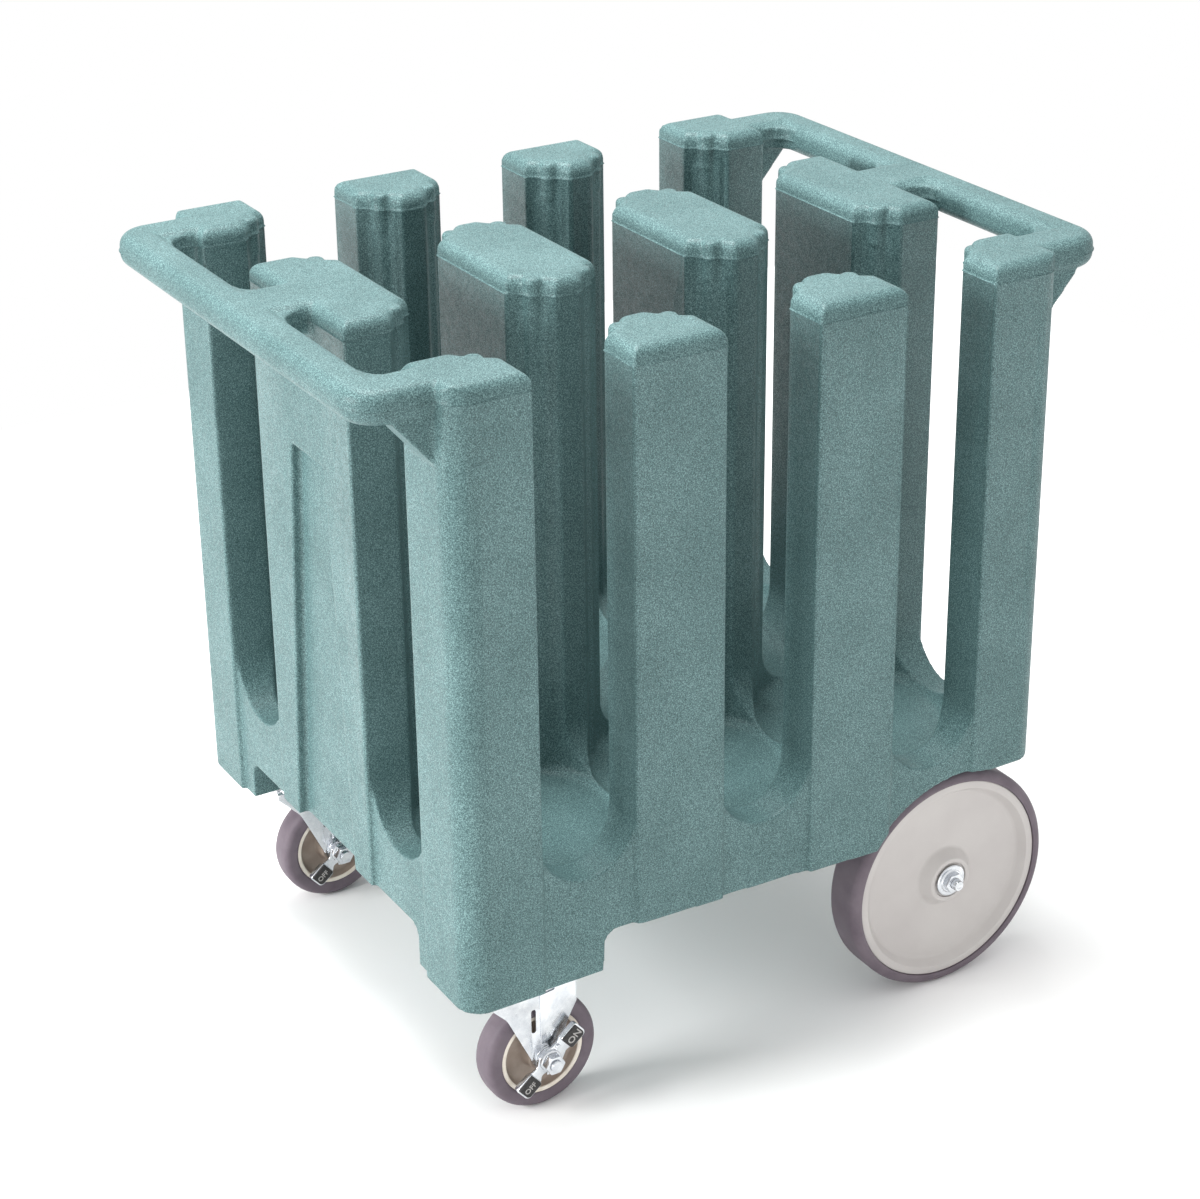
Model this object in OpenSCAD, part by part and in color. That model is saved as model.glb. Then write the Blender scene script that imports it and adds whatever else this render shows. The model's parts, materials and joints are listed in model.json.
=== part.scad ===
// Plate dispenser cart: a hollow rotationally moulded body with six round plate wells,
// two large fixed wheels on a through axle and two braked swivel casters.
// +X runs along the body to the large wheels, +Y runs across it, +Z is up.
// The origin is on the floor under the middle of the body. All sizes are in millimetres.

/* [Body] */
// Length of the body between its two end faces
body_l = 688; // [665:1:720]
// Width of the body between its two side faces
body_w = 614; // [605:1:650]
// Height of the post tops above the floor
top_z = 820; // [720:5:860]
// Wall thickness of the moulding
wall = 6; // [4:0.5:8]
// Rounding of the upright outer corners
corner_r = 26; // [12:1:34]
// Rounding of the top edges of the posts
edge_r = 12; // [6:1:14]
// Height of the feet above the floor, where the casters are bolted on
foot_z = 173; // [168:1:178]
// Height of the belly above the floor, beside the caster feet
belly_z = 217; // [208:1:224]
// Fall of the belly towards the large wheels, in degrees
belly_fall = 2; // [0:0.5:2.5]
// Length of a caster foot along the body
foot_l = 156; // [146:1:170]
// Width of a caster foot across the body
foot_w = 112; // [106:1:124]
// Rounding where a foot meets the belly
foot_fillet_r = 15; // [5:1:20]

/* [Plate wells] */
// Radius of a plate well
well_r = 105.5; // [98:0.5:108]
// Distance between wells along the body
well_pitch_x = 206; // [200:1:212]
// Distance between the two rows of wells
well_pitch_y = 324; // [310:1:335]
// Height of the well floors above the floor
well_floor_z = 279; // [276:1:300]
// Rounding between the floor of a well and its wall
well_foot_r = 12; // [4:1:16]
// Width of the slots that run across the body
cross_slot_w = 105; // [90:1:115]
// Width of the slots that run along the body
long_slot_w = 113; // [90:1:120]
// Height of the lowest line of each slot above the floor
slot_floor_z = 284; // [281:1:305]
// Radius of the upright ribs in the wells
rib_r = 10; // [6:1:12]
// How far a rib stands out of the wall of its well
rib_proud = 4; // [2:0.5:5]

/* [Panels] */
// Depth of the shallow panels below the slots
panel_depth = 5; // [2:0.5:6]
// Depth of the tapered groove in the middle post of the caster end
groove_depth = 11; // [5:1:14]
// Height of the groove's upper end above the floor
groove_top_z = 655; // [560:5:680]
// Place of the groove's upper end across the body
groove_top_y = -8; // [-20:1:20]
// Width of the groove at its upper end
groove_top_w = 72; // [40:1:80]
// Width of the groove at the belly
groove_foot_w = 132; // [90:1:140]

/* [Push handles] */
// Reach of a handle beyond the end face
handle_reach = 75; // [68:1:110]
// Width of the handle bar
handle_bar_w = 41; // [30:1:46]
// Height of the handle bar
handle_bar_h = 34; // [26:1:40]
// Rounding of the handle bar's edges
handle_edge_r = 13; // [6:1:15]
// How far a handle's ends lie inside the body's side faces
handle_inset = 24; // [4:1:40]
// Rounding of a handle's outer corners, seen from above
handle_corner_r = 36; // [24:1:40]
// Width of an arm that joins the bar to a corner post
handle_arm_w = 52; // [44:1:70]
// Width of the neck that joins the bar to the middle post
handle_neck_w = 74; // [50:1:100]
// Height of the sloping gusset under each arm
gusset_h = 46; // [20:1:60]
// How far a gusset's sides stand in from its arm's sides
gusset_inset = 3; // [2:0.5:8]

/* [Large wheels] */
// Radius of the large tyres
wheel_r = 127; // [120:1:130]
// Width of the large tyres
wheel_tyre_w = 46; // [36:1:48]
// Radius of the lip of the large wheel discs
wheel_rim_r = 115; // [100:1:117]
// Distance of the axle from the middle of the body
wheel_x = 250; // [240:1:264]
// How far the tyre's outer face lies inside the body's side face
wheel_inset = 18; // [12:1:24]
// Running gap between the tyre and its arch
wheel_arch_gap = 9; // [6:1:12]
// Radius of the axle
axle_r = 8; // [7:0.5:10]
// Radius of the outer face of the boss in the middle of a large wheel disc
wheel_boss_r = 24; // [22:1:28]
// Radius of the boss where it meets the web
wheel_boss_foot_r = 34; // [30:1:40]
// Thickness of the web of a large wheel disc
wheel_web_t = 8; // [5:0.5:12]
// Depth of the web below the lip of the disc
wheel_web_depth = 9; // [5:0.5:14]
// Outer radius of the axle washers
axle_washer_r = 18; // [15:0.5:20]
// Radius of the turned-down ends of the axle
axle_stub_r = 6; // [5:0.5:6.5]
// Thickness of the axle washers
axle_washer_t = 3; // [2:0.5:4]
// Width across the flats of the axle nuts
axle_nut_af = 20; // [18:1:24]
// Thickness of the axle nuts
axle_nut_t = 6; // [5:0.5:10]
// Length of axle that stands out of a nut
axle_tail = 6; // [2:0.5:8]

/* [Casters] */
// Radius of the caster tyres
caster_r = 63.5; // [60:0.5:64]
// Width of the caster tyres
caster_tyre_w = 31; // [26:1:32]
// Radius of the lip of the caster hubs
caster_rim_r = 46.5; // [40:0.5:50]
// Distance from the swivel axis to the caster axle
caster_trail = 32; // [26:1:36]
// Distance between the cheeks of a fork
fork_gap = 36.6; // [36:0.1:40]
// Thickness of the fork's cheeks
fork_t = 3; // [2.5:0.5:4]
// Radius of the caster axle bolt
caster_bolt_r = 6; // [5:0.5:7]
// Radius of the kingpin
kingpin_r = 7; // [6:0.5:8]
// Length of the caster plate along the body
plate_l = 92; // [88:1:100]
// Width of the caster plate across the body
plate_w = 67; // [66:1:76]
// Thickness of the caster plate
plate_t = 4; // [3:0.5:5]
// Distance between the plate bolts along the body
plate_bolt_x = 76; // [72:1:78]
// Distance between the plate bolts across the body
plate_bolt_y = 46; // [44:1:50]
// Radius of the plate bolts
plate_bolt_r = 4; // [3:0.5:5]
// Radius of the bearing balls
ball_r = 4; // [3:0.25:4.5]
// Number of balls in a swivel bearing
ball_count = 14; // [8:1:16]
// Radius of the circle that the ball centres lie on
ball_ring_r = 25; // [23:0.5:28]

/* [Caster brakes] */
// Length of the brake lever from pad to pad
lever_l = 90; // [80:1:96]
// Width of the brake lever at its pads
lever_w = 20; // [14:1:24]
// Thickness of the brake lever
lever_t = 4; // [3:0.5:5]
// Length of a brake pad along the lever
pad_l = 22; // [16:1:26]
// Thickness of a brake pad
pad_t = 5; // [3:0.5:7]
// Lean of the lever from the level, in degrees
lever_lean = 40; // [30:1:50]

/* [Clearances] */
// Radial running clearance of a shaft in its bore
run_gap = 0.05; // [0.02:0.01:0.1]
// End gap between parts that turn past each other
end_gap = 0.3; // [0.2:0.05:0.5]

/* [Hidden] */
$fn = 64;
// Overrun of the cuts
over = 2;

// Places of the wells
well_x = [-well_pitch_x, 0, well_pitch_x];
well_y = [-well_pitch_y / 2, well_pitch_y / 2];
// Mid angle of the four arcs of a well, between its slots
rib_angle = (asin(long_slot_w / 2 / well_r) + 90 - asin(cross_slot_w / 2 / well_r)) / 2;
// Radius of a rib's blunt top
rib_top_r = 4;
// Distance of a rib's middle from the middle of its well
rib_place_r = well_r + rib_r - rib_proud;
// Floor disc of a well, inside its rounding
floor_disc_r = well_r - well_foot_r;

// Feet, belly and wheel arches
foot_x = foot_l - body_l / 2;
foot_y = body_w / 2 - foot_w;
arch_r = wheel_r + wheel_arch_gap;
arch_flat = 4;
arch_roof_z = wheel_r + arch_r - arch_flat;
arch_side_gap = 10.8;
arch_y = body_w / 2 - wheel_inset - wheel_tyre_w - arch_side_gap;
axle_leg_l = 104;
axle_leg_w = 92;
axle_leg_corner_r = 13;
axle_leg_z = wheel_r;

// Handles
handle_l = body_w - 2 * handle_inset;
handle_x = body_l / 2 + handle_reach;
handle_z = top_z - handle_bar_h / 2;
handle_root_x = body_l / 2 - 2 * edge_r;
elbow_x = handle_x - handle_corner_r;
elbow_y = handle_l / 2 - handle_corner_r;
arm_y = handle_l / 2 - handle_arm_w / 2;

// Large wheels: the middle plane of the tyre, and the parts along the axle from there outwards
wheel_y = body_w / 2 - wheel_inset - wheel_tyre_w / 2;
wheel_lip_inset = 2;
wheel_lip = wheel_tyre_w / 2 - wheel_lip_inset;
wheel_lip_t = 2;
wheel_lip_h = 7;
wheel_bed_r = wheel_rim_r - wheel_lip_h;
wheel_bed_t = 8;
wheel_boss_proud = 3;
wheel_boss_half = wheel_lip + wheel_boss_proud;
wheel_bearing_t = 5;
wheel_bearing_r = axle_r + wheel_bearing_t;
wheel_shoulder_r = 9;
washer_y = wheel_y + wheel_boss_half + end_gap;
nut_y = washer_y + axle_washer_t;
axle_end_y = nut_y + axle_nut_t + axle_tail;
axle_chamfer = 1;
spacer_y = wheel_y - wheel_boss_half - end_gap;
spacer_t = 5;

// Axle saddles, their bolts and the threaded inserts
saddle_w = 34;
saddle_t = 4;
saddle_set_in = 6;
saddle_y = arch_y - saddle_w / 2 - saddle_set_in;
saddle_ear = 22;
saddle_bolt_x = axle_r + saddle_t + saddle_ear / 2;
bolt_r = plate_bolt_r;
bolt_head_h = 5;
bolt_head_af = 13;
insert_t = 4;
insert_r = plate_bolt_r + insert_t;
insert_l = 26;
insert_hole_l = 22;

// Casters: the swivel axis, the plate and the ball bearing below it
caster_set_in = 13;
swivel_x = foot_x - foot_l / 2;
caster_y = body_w / 2 - foot_w / 2 - caster_set_in;
plate_z = foot_z - plate_t;
plate_corner_r = 12;
race_in_t = 7;
race_out_t = 8;
race_in_r = ball_ring_r - race_in_t;
race_out_r = ball_ring_r + race_out_t;
race_t = 4.5;
race_gap = 3;
ball_z = plate_z - race_t - race_gap / 2;
crown_top_z = ball_z - race_gap / 2 - race_t;
crown_t = 4;
crown_z = crown_top_z - crown_t;
crown_rim = 4;
crown_r = race_out_r + crown_rim;
kingpin_head_rim = 5;
kingpin_head_r = kingpin_r + kingpin_head_rim;
kingpin_head_t = 6;

// Caster forks: heights above the floor, places along X from the swivel axis
fork_half = fork_gap / 2 + fork_t;
fork_end_r = 17;
fork_back_x = -34;
fork_back_h = 6;
fork_back_z = crown_z - fork_back_h;
fork_waist_x = -11;
fork_waist_z = 120;
fork_front_x = 69;
fork_front_z = 117;
fork_neck_x = 57;
fork_neck_z = 95;
fork_slot_x = 19;
fork_slot_z = 98;
fork_slot_l = 22;
fork_slot_w = 5;

// Caster wheels
caster_lip_inset = 1;
caster_lip = caster_tyre_w / 2 - caster_lip_inset;
caster_lip_t = 1.5;
caster_lip_h = 4;
caster_bed_r = caster_rim_r - caster_lip_h;
caster_bed_t = 3;
caster_hub_half = fork_gap / 2 - end_gap;
caster_boss_r = 17;
caster_web_half = 4;
caster_shoulder_r = 8;
sleeve_t = 2;
sleeve_r = caster_bolt_r + sleeve_t;
caster_bearing_t = 3;
caster_bearing_r = sleeve_r + caster_bearing_t;

// Brakes, from the fork outwards along the caster's axle
cam_r = 13;
cam_t = 3;
lever_hub_r = 12;
lever_hub_t = 9;
lever_y = fork_half + cam_t + end_gap;
lever_set_out = 2;
lever_waist_w = 13;
pad_corner_r = 4;
caster_nut_y = lever_y + lever_hub_t + end_gap;
caster_nut_af = 19;
caster_nut_t = 8;
caster_bolt_tail = 3;
caster_bolt_head_t = 7;

// Colours of the finishes
moss = [0.43, 0.55, 0.54];
cream = [0.84, 0.81, 0.78];
tyre_grey = [0.44, 0.40, 0.44];
zinc = [0.82, 0.83, 0.85];
hub_brown = [0.62, 0.56, 0.52];
nylon = [0.88, 0.86, 0.80];
black_pad = [0.12, 0.12, 0.13];

// A plate with rounded corners, standing on z = 0
module rounded_plate(l, w, r, h) {
    linear_extrude(h) {
        square([l - 2 * r, w], center = true);
        square([l, w - 2 * r], center = true);
        for (sx = [-1, 1], sy = [-1, 1]) translate([sx * (l / 2 - r), sy * (w / 2 - r)]) circle(r);
    }
}

// A tube standing on z = 0
module tube(outer, inner, h) {
    difference() {
        cylinder(r = outer, h = h);
        translate([0, 0, -over]) cylinder(r = inner, h = h + 2 * over);
    }
}

// A hexagon bolt head or nut standing on z = 0, af wide across its flats
module hexagon(af, h) {
    cylinder(d = af / cos(30), h = h, $fn = 6);
}

// What is cut off an edge at the origin to round it by r. The solid lies at -X and -Y of the edge
module edge_outline(r) {
    difference() {
        translate([-r, -r]) square(r + over);
        translate([-r, -r]) circle(r);
    }
}

// A slot's outline: straight walls, a round bottom and a rounded mouth at the top
module slot_outline(half, low, mouth_r) {
    translate([-half, low + half]) square([2 * half, top_z - low - half + over]);
    translate([0, low + half]) circle(half);
    if (mouth_r > 0) {
        translate([-half, top_z]) edge_outline(mouth_r);
        translate([half, top_z]) mirror([1, 0]) edge_outline(mouth_r);
    }
}

// The slots across and along the body. grow widens them all round
module slots(grow, mouth_r) {
    for (x = well_x) translate([x, body_w / 2 + over, 0]) rotate([90, 0, 0])
        linear_extrude(body_w + 2 * over)
        slot_outline(cross_slot_w / 2 + grow, slot_floor_z - grow, mouth_r);
    for (y = well_y) translate([-body_l / 2 - over, y, 0]) rotate([90, 0, 90])
        linear_extrude(body_l + 2 * over)
        slot_outline(long_slot_w / 2 + grow, slot_floor_z - grow, mouth_r);
}

// The round wells, with a rounded foot and a rounded mouth
module wells() {
    shaft_z = well_floor_z + well_foot_r;
    for (x = well_x, y = well_y) translate([x, y, 0]) rotate_extrude() {
        translate([0, well_floor_z]) square([floor_disc_r, top_z - well_floor_z + over]);
        translate([0, shaft_z]) square([well_r, top_z - shaft_z + over]);
        translate([floor_disc_r, shaft_z]) circle(well_foot_r);
        translate([well_r, top_z]) mirror([1, 0]) edge_outline(edge_r);
    }
}

// The wells with the wall round them, as the hollow of the moulding leaves room for them
module walled_wells() {
    for (x = well_x, y = well_y) translate([x, y, well_floor_z - wall])
        cylinder(r = well_r + wall, h = top_z - well_floor_z + wall);
}

// Upright ribs in the middle of each arc of each well
module ribs() {
    for (x = well_x, y = well_y, sx = [-1, 1], sy = [-1, 1])
        translate([x + sx * rib_place_r * cos(rib_angle), y + sy * rib_place_r * sin(rib_angle), 0]) {
            translate([0, 0, slot_floor_z]) cylinder(r = rib_r, h = top_z - edge_r - slot_floor_z);
            translate([0, 0, top_z - edge_r]) cylinder(r1 = rib_r, r2 = rib_top_r, h = rib_r);
        }
}

// What is cut off to round the top edges of the block
module top_edges() {
    for (turn = [0, 180]) rotate([0, 0, turn]) {
        translate([-body_l / 2 - over, body_w / 2, top_z]) rotate([90, 0, 90])
            linear_extrude(body_l + 2 * over) edge_outline(edge_r);
        translate([body_l / 2, body_w / 2 + over, top_z]) rotate([90, 0, 0])
            linear_extrude(body_w + 2 * over) edge_outline(edge_r);
    }
}

// The space under the belly, from the caster feet to the other end. grow widens it
module under_belly(grow) {
    r = foot_fillet_r;
    translate([foot_x, 0, belly_z]) rotate([0, belly_fall, 0])
        translate([-grow, 0, grow]) rotate([90, 0, 0]) linear_extrude(body_w + 2 * over, center = true) {
            translate([r, -belly_z]) square([body_l, belly_z]);
            translate([0, -belly_z]) square([r + over, belly_z - r]);
            translate([r, -r]) circle(r);
        }
}

// The space between the two caster feet
module between_feet() {
    r = foot_fillet_r;
    translate([-body_l / 2 - over, 0, 0]) rotate([90, 0, 90]) linear_extrude(foot_l + r + over) {
        translate([-foot_y, 0]) square([2 * foot_y, belly_z - r]);
        translate([r - foot_y, 0]) square([2 * foot_y - 2 * r, belly_z]);
        for (s = [-1, 1]) translate([s * (foot_y - r), belly_z - r]) circle(r);
    }
}

// The arches over the two large wheels. grow widens them
module arches(grow) {
    for (turn = [0, 1]) mirror([0, turn, 0]) translate([wheel_x, arch_y - grow, 0]) {
        translate([0, 0, wheel_r]) rotate([-90, 0, 0]) cylinder(r = arch_r + grow, h = body_w / 2);
        cube([body_l / 2, body_w / 2, arch_roof_z + grow]);
    }
}

// The shallow panels below the slots. grow widens them
module panels(grow) {
    depth = panel_depth + grow;
    for (turn = [0, 180]) rotate([0, 0, turn]) {
        for (x = well_x) translate([x - cross_slot_w / 2 - grow, body_w / 2 - depth, 0])
            cube([cross_slot_w + 2 * grow, depth + over, slot_floor_z + cross_slot_w / 2 + grow]);
        for (y = well_y) translate([body_l / 2 - depth, y - long_slot_w / 2 - grow, 0])
            cube([depth + over, long_slot_w + 2 * grow, slot_floor_z + long_slot_w / 2 + grow]);
    }
}

// The tapered groove in the middle post of the caster end. grow widens it
module groove(grow) {
    top = groove_top_w / 2 + grow;
    top_y = groove_top_y;
    foot = groove_foot_w / 2 + grow;
    high = groove_top_z + grow;
    translate([-body_l / 2 - over, 0, 0]) rotate([90, 0, 90]) linear_extrude(groove_depth + grow + over)
        polygon([[-foot, 0], [foot, 0], [foot, belly_z], [top_y + top, high], [top_y - top, high],
            [-foot, belly_z]]);
}

// The sealed hollow inside the moulding. The feet stay solid
module hollow() {
    difference() {
        translate([0, 0, foot_z])
            rounded_plate(body_l - 2 * wall, body_w - 2 * wall, corner_r - wall, top_z - wall - foot_z);
        walled_wells();
        slots(wall, 0);
        panels(wall);
        groove(wall);
        under_belly(wall);
        arches(wall);
        translate([-body_l / 2, -body_w / 2, 0])
            cube([foot_l + foot_fillet_r, body_w, belly_z + wall]);
    }
}

// A handle bar's outline, w wide, with rounded edges
module bar_outline(w) {
    r = handle_edge_r;
    h = handle_bar_h;
    square([w - 2 * r, h], center = true);
    square([w, h - 2 * r], center = true);
    for (sx = [-1, 1], sy = [-1, 1]) translate([sx * (w / 2 - r), sy * (h / 2 - r)]) circle(r);
}

// A straight stretch of handle along X, from inside the body to x_end, centred on y
module handle_arm(y, w, x_end) {
    translate([handle_root_x, y, handle_z]) rotate([90, 0, 90])
        linear_extrude(x_end - handle_root_x) bar_outline(w);
}

// The sloping gusset under an arm centred on y
module gusset(y) {
    low_z = handle_z - handle_bar_h / 2;
    translate([0, y, 0]) rotate([90, 0, 0])
        linear_extrude(handle_arm_w - 2 * gusset_inset, center = true)
        polygon([[handle_root_x, handle_z], [elbow_x, handle_z], [elbow_x, low_z],
            [body_l / 2, low_z - gusset_h], [handle_root_x, low_z - gusset_h]]);
}

// The handle at the +X end: a bar with round outer corners, two arms and a neck
module handle() {
    translate([handle_x - handle_bar_w / 2, 0, handle_z]) rotate([90, 0, 0])
        linear_extrude(2 * elbow_y, center = true) bar_outline(handle_bar_w);
    handle_arm(0, handle_neck_w, handle_x - handle_bar_w / 2);
    for (s = [-1, 1]) {
        handle_arm(s * arm_y, handle_arm_w, elbow_x);
        gusset(s * arm_y);
        translate([elbow_x, s * elbow_y, handle_z]) intersection() {
            rotate_extrude() intersection() {
                bar_outline(2 * handle_corner_r);
                translate([0, -handle_bar_h / 2]) square([handle_corner_r, handle_bar_h]);
            }
            translate([0, s > 0 ? 0 : -handle_corner_r - over, -handle_bar_h / 2 - over])
                cube([handle_corner_r + over, handle_corner_r + over, handle_bar_h + 2 * over]);
        }
    }
}

// Places children at the large wheels' axle, turned so that their +Z runs along +Y from y
module along_axle(y) {
    translate([wheel_x, y, wheel_r]) rotate([-90, 0, 0]) children();
}

// The legs that carry the axle, with a half-round seat for it
module axle_legs() {
    difference() {
        for (s = [-1, 1]) translate([wheel_x, s * (arch_y - axle_leg_w / 2), axle_leg_z])
            rounded_plate(axle_leg_l, axle_leg_w, axle_leg_corner_r, belly_z - axle_leg_z);
        along_axle(-body_w / 2) cylinder(r = axle_r, h = body_w);
    }
}

// Copies children to the four bolt places of a caster plate, at height z
module at_plate_bolts(side, z) {
    for (sx = [-1, 1], sy = [-1, 1])
        translate([swivel_x + sx * plate_bolt_x / 2, side * caster_y + sy * plate_bolt_y / 2, z])
            children();
}

// Copies children to the bolt places of the axle saddles, at height z
module at_saddle_bolts(z) {
    for (sx = [-1, 1], sy = [-1, 1])
        translate([wheel_x + sx * saddle_bolt_x, sy * saddle_y, z]) children();
}

// A threaded insert with a blind hole that opens downwards
module insert() {
    difference() {
        cylinder(r = insert_r, h = insert_l);
        translate([0, 0, -over]) cylinder(r = bolt_r + run_gap, h = insert_hole_l + over);
    }
}

// The hole that an insert is moulded into
module insert_seat() {
    translate([0, 0, -over]) cylinder(r = insert_r, h = insert_l + over);
}

module body_moulding() {
    color(moss) difference() {
        union() {
            difference() {
                translate([0, 0, foot_z]) rounded_plate(body_l, body_w, corner_r, top_z - foot_z);
                top_edges();
                wells();
                slots(0, edge_r);
                panels(0);
                groove(0);
                under_belly(0);
                between_feet();
                arches(0);
            }
            ribs();
            handle();
            rotate([0, 0, 180]) handle();
            axle_legs();
        }
        hollow();
        for (side = [-1, 1]) at_plate_bolts(side, foot_z) insert_seat();
        at_saddle_bolts(axle_leg_z) insert_seat();
    }
}

module caster_inserts() {
    color(zinc) for (side = [-1, 1]) at_plate_bolts(side, foot_z) insert();
}

module axle_inserts() {
    color(zinc) at_saddle_bolts(axle_leg_z) insert();
}

module wheel_axle() {
    stub_l = axle_end_y - washer_y - axle_chamfer;
    color(zinc) {
        along_axle(-washer_y) cylinder(r = axle_r, h = 2 * washer_y);
        at_axle_ends(washer_y) cylinder(r = axle_stub_r, h = stub_l);
        at_axle_ends(washer_y + stub_l)
            cylinder(r1 = axle_stub_r, r2 = axle_stub_r - axle_chamfer, h = axle_chamfer);
    }
}

// A saddle's outline: a half-round strap with a flat ear on each side
module saddle_outline() {
    outer = axle_r + saddle_t;
    difference() {
        union() {
            circle(outer);
            translate([-outer - saddle_ear, -saddle_t]) square([2 * outer + 2 * saddle_ear, saddle_t]);
        }
        translate([-outer, 0]) square([2 * outer, outer]);
        circle(axle_r);
    }
}

module axle_saddles() {
    color(zinc) difference() {
        for (s = [-1, 1]) translate([wheel_x, s * saddle_y, wheel_r]) rotate([90, 0, 0])
            linear_extrude(saddle_w, center = true) saddle_outline();
        at_saddle_bolts(axle_leg_z - saddle_t - over)
            cylinder(r = bolt_r + run_gap, h = saddle_t + 2 * over);
    }
}

// A bolt that runs up through a plate t thick into an insert, with its head below z = 0
module bolt_up(t) {
    translate([0, 0, -bolt_head_h]) hexagon(bolt_head_af, bolt_head_h);
    cylinder(r = bolt_r, h = t + insert_hole_l - over);
}

module axle_saddle_bolts() {
    color(zinc) at_saddle_bolts(axle_leg_z - saddle_t) bolt_up(saddle_t);
}

// Copies children to both ends of the axle, with their +Z outwards from distance y
module at_axle_ends(y) {
    for (s = [-1, 1]) translate([wheel_x, s * y, wheel_r]) rotate([-s * 90, 0, 0]) children();
}

module axle_spacers() {
    color(zinc) at_axle_ends(arch_y) tube(axle_r + spacer_t, axle_r, spacer_y - arch_y);
}

module axle_washers() {
    color(zinc) at_axle_ends(washer_y) tube(axle_washer_r, axle_stub_r, axle_washer_t);
}

module axle_nuts() {
    color(zinc) at_axle_ends(nut_y) difference() {
        hexagon(axle_nut_af, axle_nut_t);
        translate([0, 0, -over]) cylinder(r = axle_stub_r, h = axle_nut_t + 2 * over);
    }
}

// Places a large wheel's parts: their axis is Z and their outer face is up
module at_wheel(side) {
    translate([wheel_x, side * wheel_y, wheel_r]) rotate([-side * 90, 0, 0]) children();
}

// Half-outline of a tyre on a bed of radius bed, between two lips of radius rim
module tyre_outline(outer, w, shoulder, bed, rim, lip, lip_t) {
    difference() {
        union() {
            translate([0, -w / 2]) square([outer - shoulder, w]);
            translate([0, shoulder - w / 2]) square([outer, w - 2 * shoulder]);
            for (s = [-1, 1]) translate([outer - shoulder, s * (w / 2 - shoulder)]) circle(shoulder);
        }
        translate([0, -lip]) square([bed, 2 * lip]);
        for (s = [-1, 1]) translate([0, s > 0 ? lip - lip_t : -w / 2])
            square([rim, w / 2 - lip + lip_t]);
    }
}

// Half-outline of a wheel's rim: a bed bed_t thick between two lips
module rim_outline(bed, bed_t, rim, lip, lip_t) {
    translate([bed - bed_t, -lip]) square([bed_t, 2 * lip]);
    for (s = [-1, 1]) translate([bed - bed_t, s > 0 ? lip - lip_t : -lip])
        square([rim - bed + bed_t, lip_t]);
}

module wheel_tyre(side) {
    color(tyre_grey) at_wheel(side) rotate_extrude()
        tyre_outline(wheel_r, wheel_tyre_w, wheel_shoulder_r, wheel_bed_r, wheel_rim_r,
            wheel_lip, wheel_lip_t);
}

module wheel_disc(side) {
    web_z = wheel_lip - wheel_web_depth;
    color(cream) at_wheel(side) rotate_extrude() difference() {
        union() {
            rim_outline(wheel_bed_r, wheel_bed_t, wheel_rim_r, wheel_lip, wheel_lip_t);
            translate([0, web_z - wheel_web_t]) square([wheel_bed_r, wheel_web_t]);
            translate([0, -wheel_boss_half]) square([wheel_boss_foot_r, wheel_boss_half + web_z]);
            polygon([[0, web_z], [wheel_boss_foot_r, web_z], [wheel_boss_r, wheel_boss_half],
                [0, wheel_boss_half]]);
        }
        translate([0, -wheel_boss_half]) square([wheel_bearing_r, 2 * wheel_boss_half]);
    }
}

module wheel_bearing(side) {
    color(nylon) at_wheel(side) translate([0, 0, -wheel_boss_half])
        tube(wheel_bearing_r, axle_r + run_gap, 2 * wheel_boss_half);
}

// Places children at a caster's swivel axis, on the floor
module at_caster(side) {
    translate([swivel_x, side * caster_y, 0]) children();
}

// Places children at a caster's axle, turned so that their +Z points to -Y, the brake's side
module at_caster_axle(side) {
    at_caster(side) translate([caster_trail, 0, caster_r]) rotate([90, 0, 0]) children();
}

// One race of the swivel bearing, standing on z, with a groove for the balls
module race(z, groove_r) {
    difference() {
        translate([0, 0, z]) tube(race_out_r, race_in_r, race_t);
        translate([0, 0, ball_z]) rotate_extrude() translate([ball_ring_r, 0]) circle(groove_r);
    }
}

module caster_plate(side) {
    color(zinc) difference() {
        at_caster(side) {
            translate([0, 0, plate_z]) difference() {
                rounded_plate(plate_l, plate_w, plate_corner_r, plate_t);
                translate([0, 0, -over]) cylinder(r = kingpin_r, h = plate_t + 2 * over);
            }
            race(plate_z - race_t, ball_r + end_gap);
        }
        at_plate_bolts(side, plate_z - over) cylinder(r = bolt_r + run_gap, h = plate_t + 2 * over);
    }
}

module caster_plate_bolts(side) {
    color(zinc) at_plate_bolts(side, plate_z) bolt_up(plate_t);
}

module caster_kingpin(side) {
    head_z = crown_z - end_gap - kingpin_head_t;
    color(zinc) at_caster(side) translate([0, 0, head_z]) {
        cylinder(r = kingpin_r, h = foot_z - head_z);
        cylinder(r1 = kingpin_r, r2 = kingpin_head_r, h = kingpin_head_t / 2);
        translate([0, 0, kingpin_head_t / 2]) cylinder(r = kingpin_head_r, h = kingpin_head_t / 2);
    }
}

// Outline of a fork's cheek, seen from the brake's side, with the swivel axis at x = 0
module cheek_outline() {
    difference() {
        union() {
            polygon([[fork_back_x, crown_top_z], [fork_back_x, fork_back_z], [fork_waist_x, fork_waist_z],
                [caster_trail - fork_end_r, caster_r], [caster_trail + fork_end_r, caster_r],
                [fork_neck_x, fork_neck_z], [fork_front_x, fork_front_z], [fork_front_x, crown_top_z]]);
            translate([caster_trail, caster_r]) circle(fork_end_r);
        }
        translate([caster_trail, caster_r]) circle(caster_bolt_r);
        translate([fork_slot_x, fork_slot_z]) {
            translate([-fork_slot_w / 2, 0]) square([fork_slot_w, fork_slot_l]);
            for (z = [0, fork_slot_l]) translate([0, z]) circle(fork_slot_w / 2);
        }
    }
}

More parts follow.
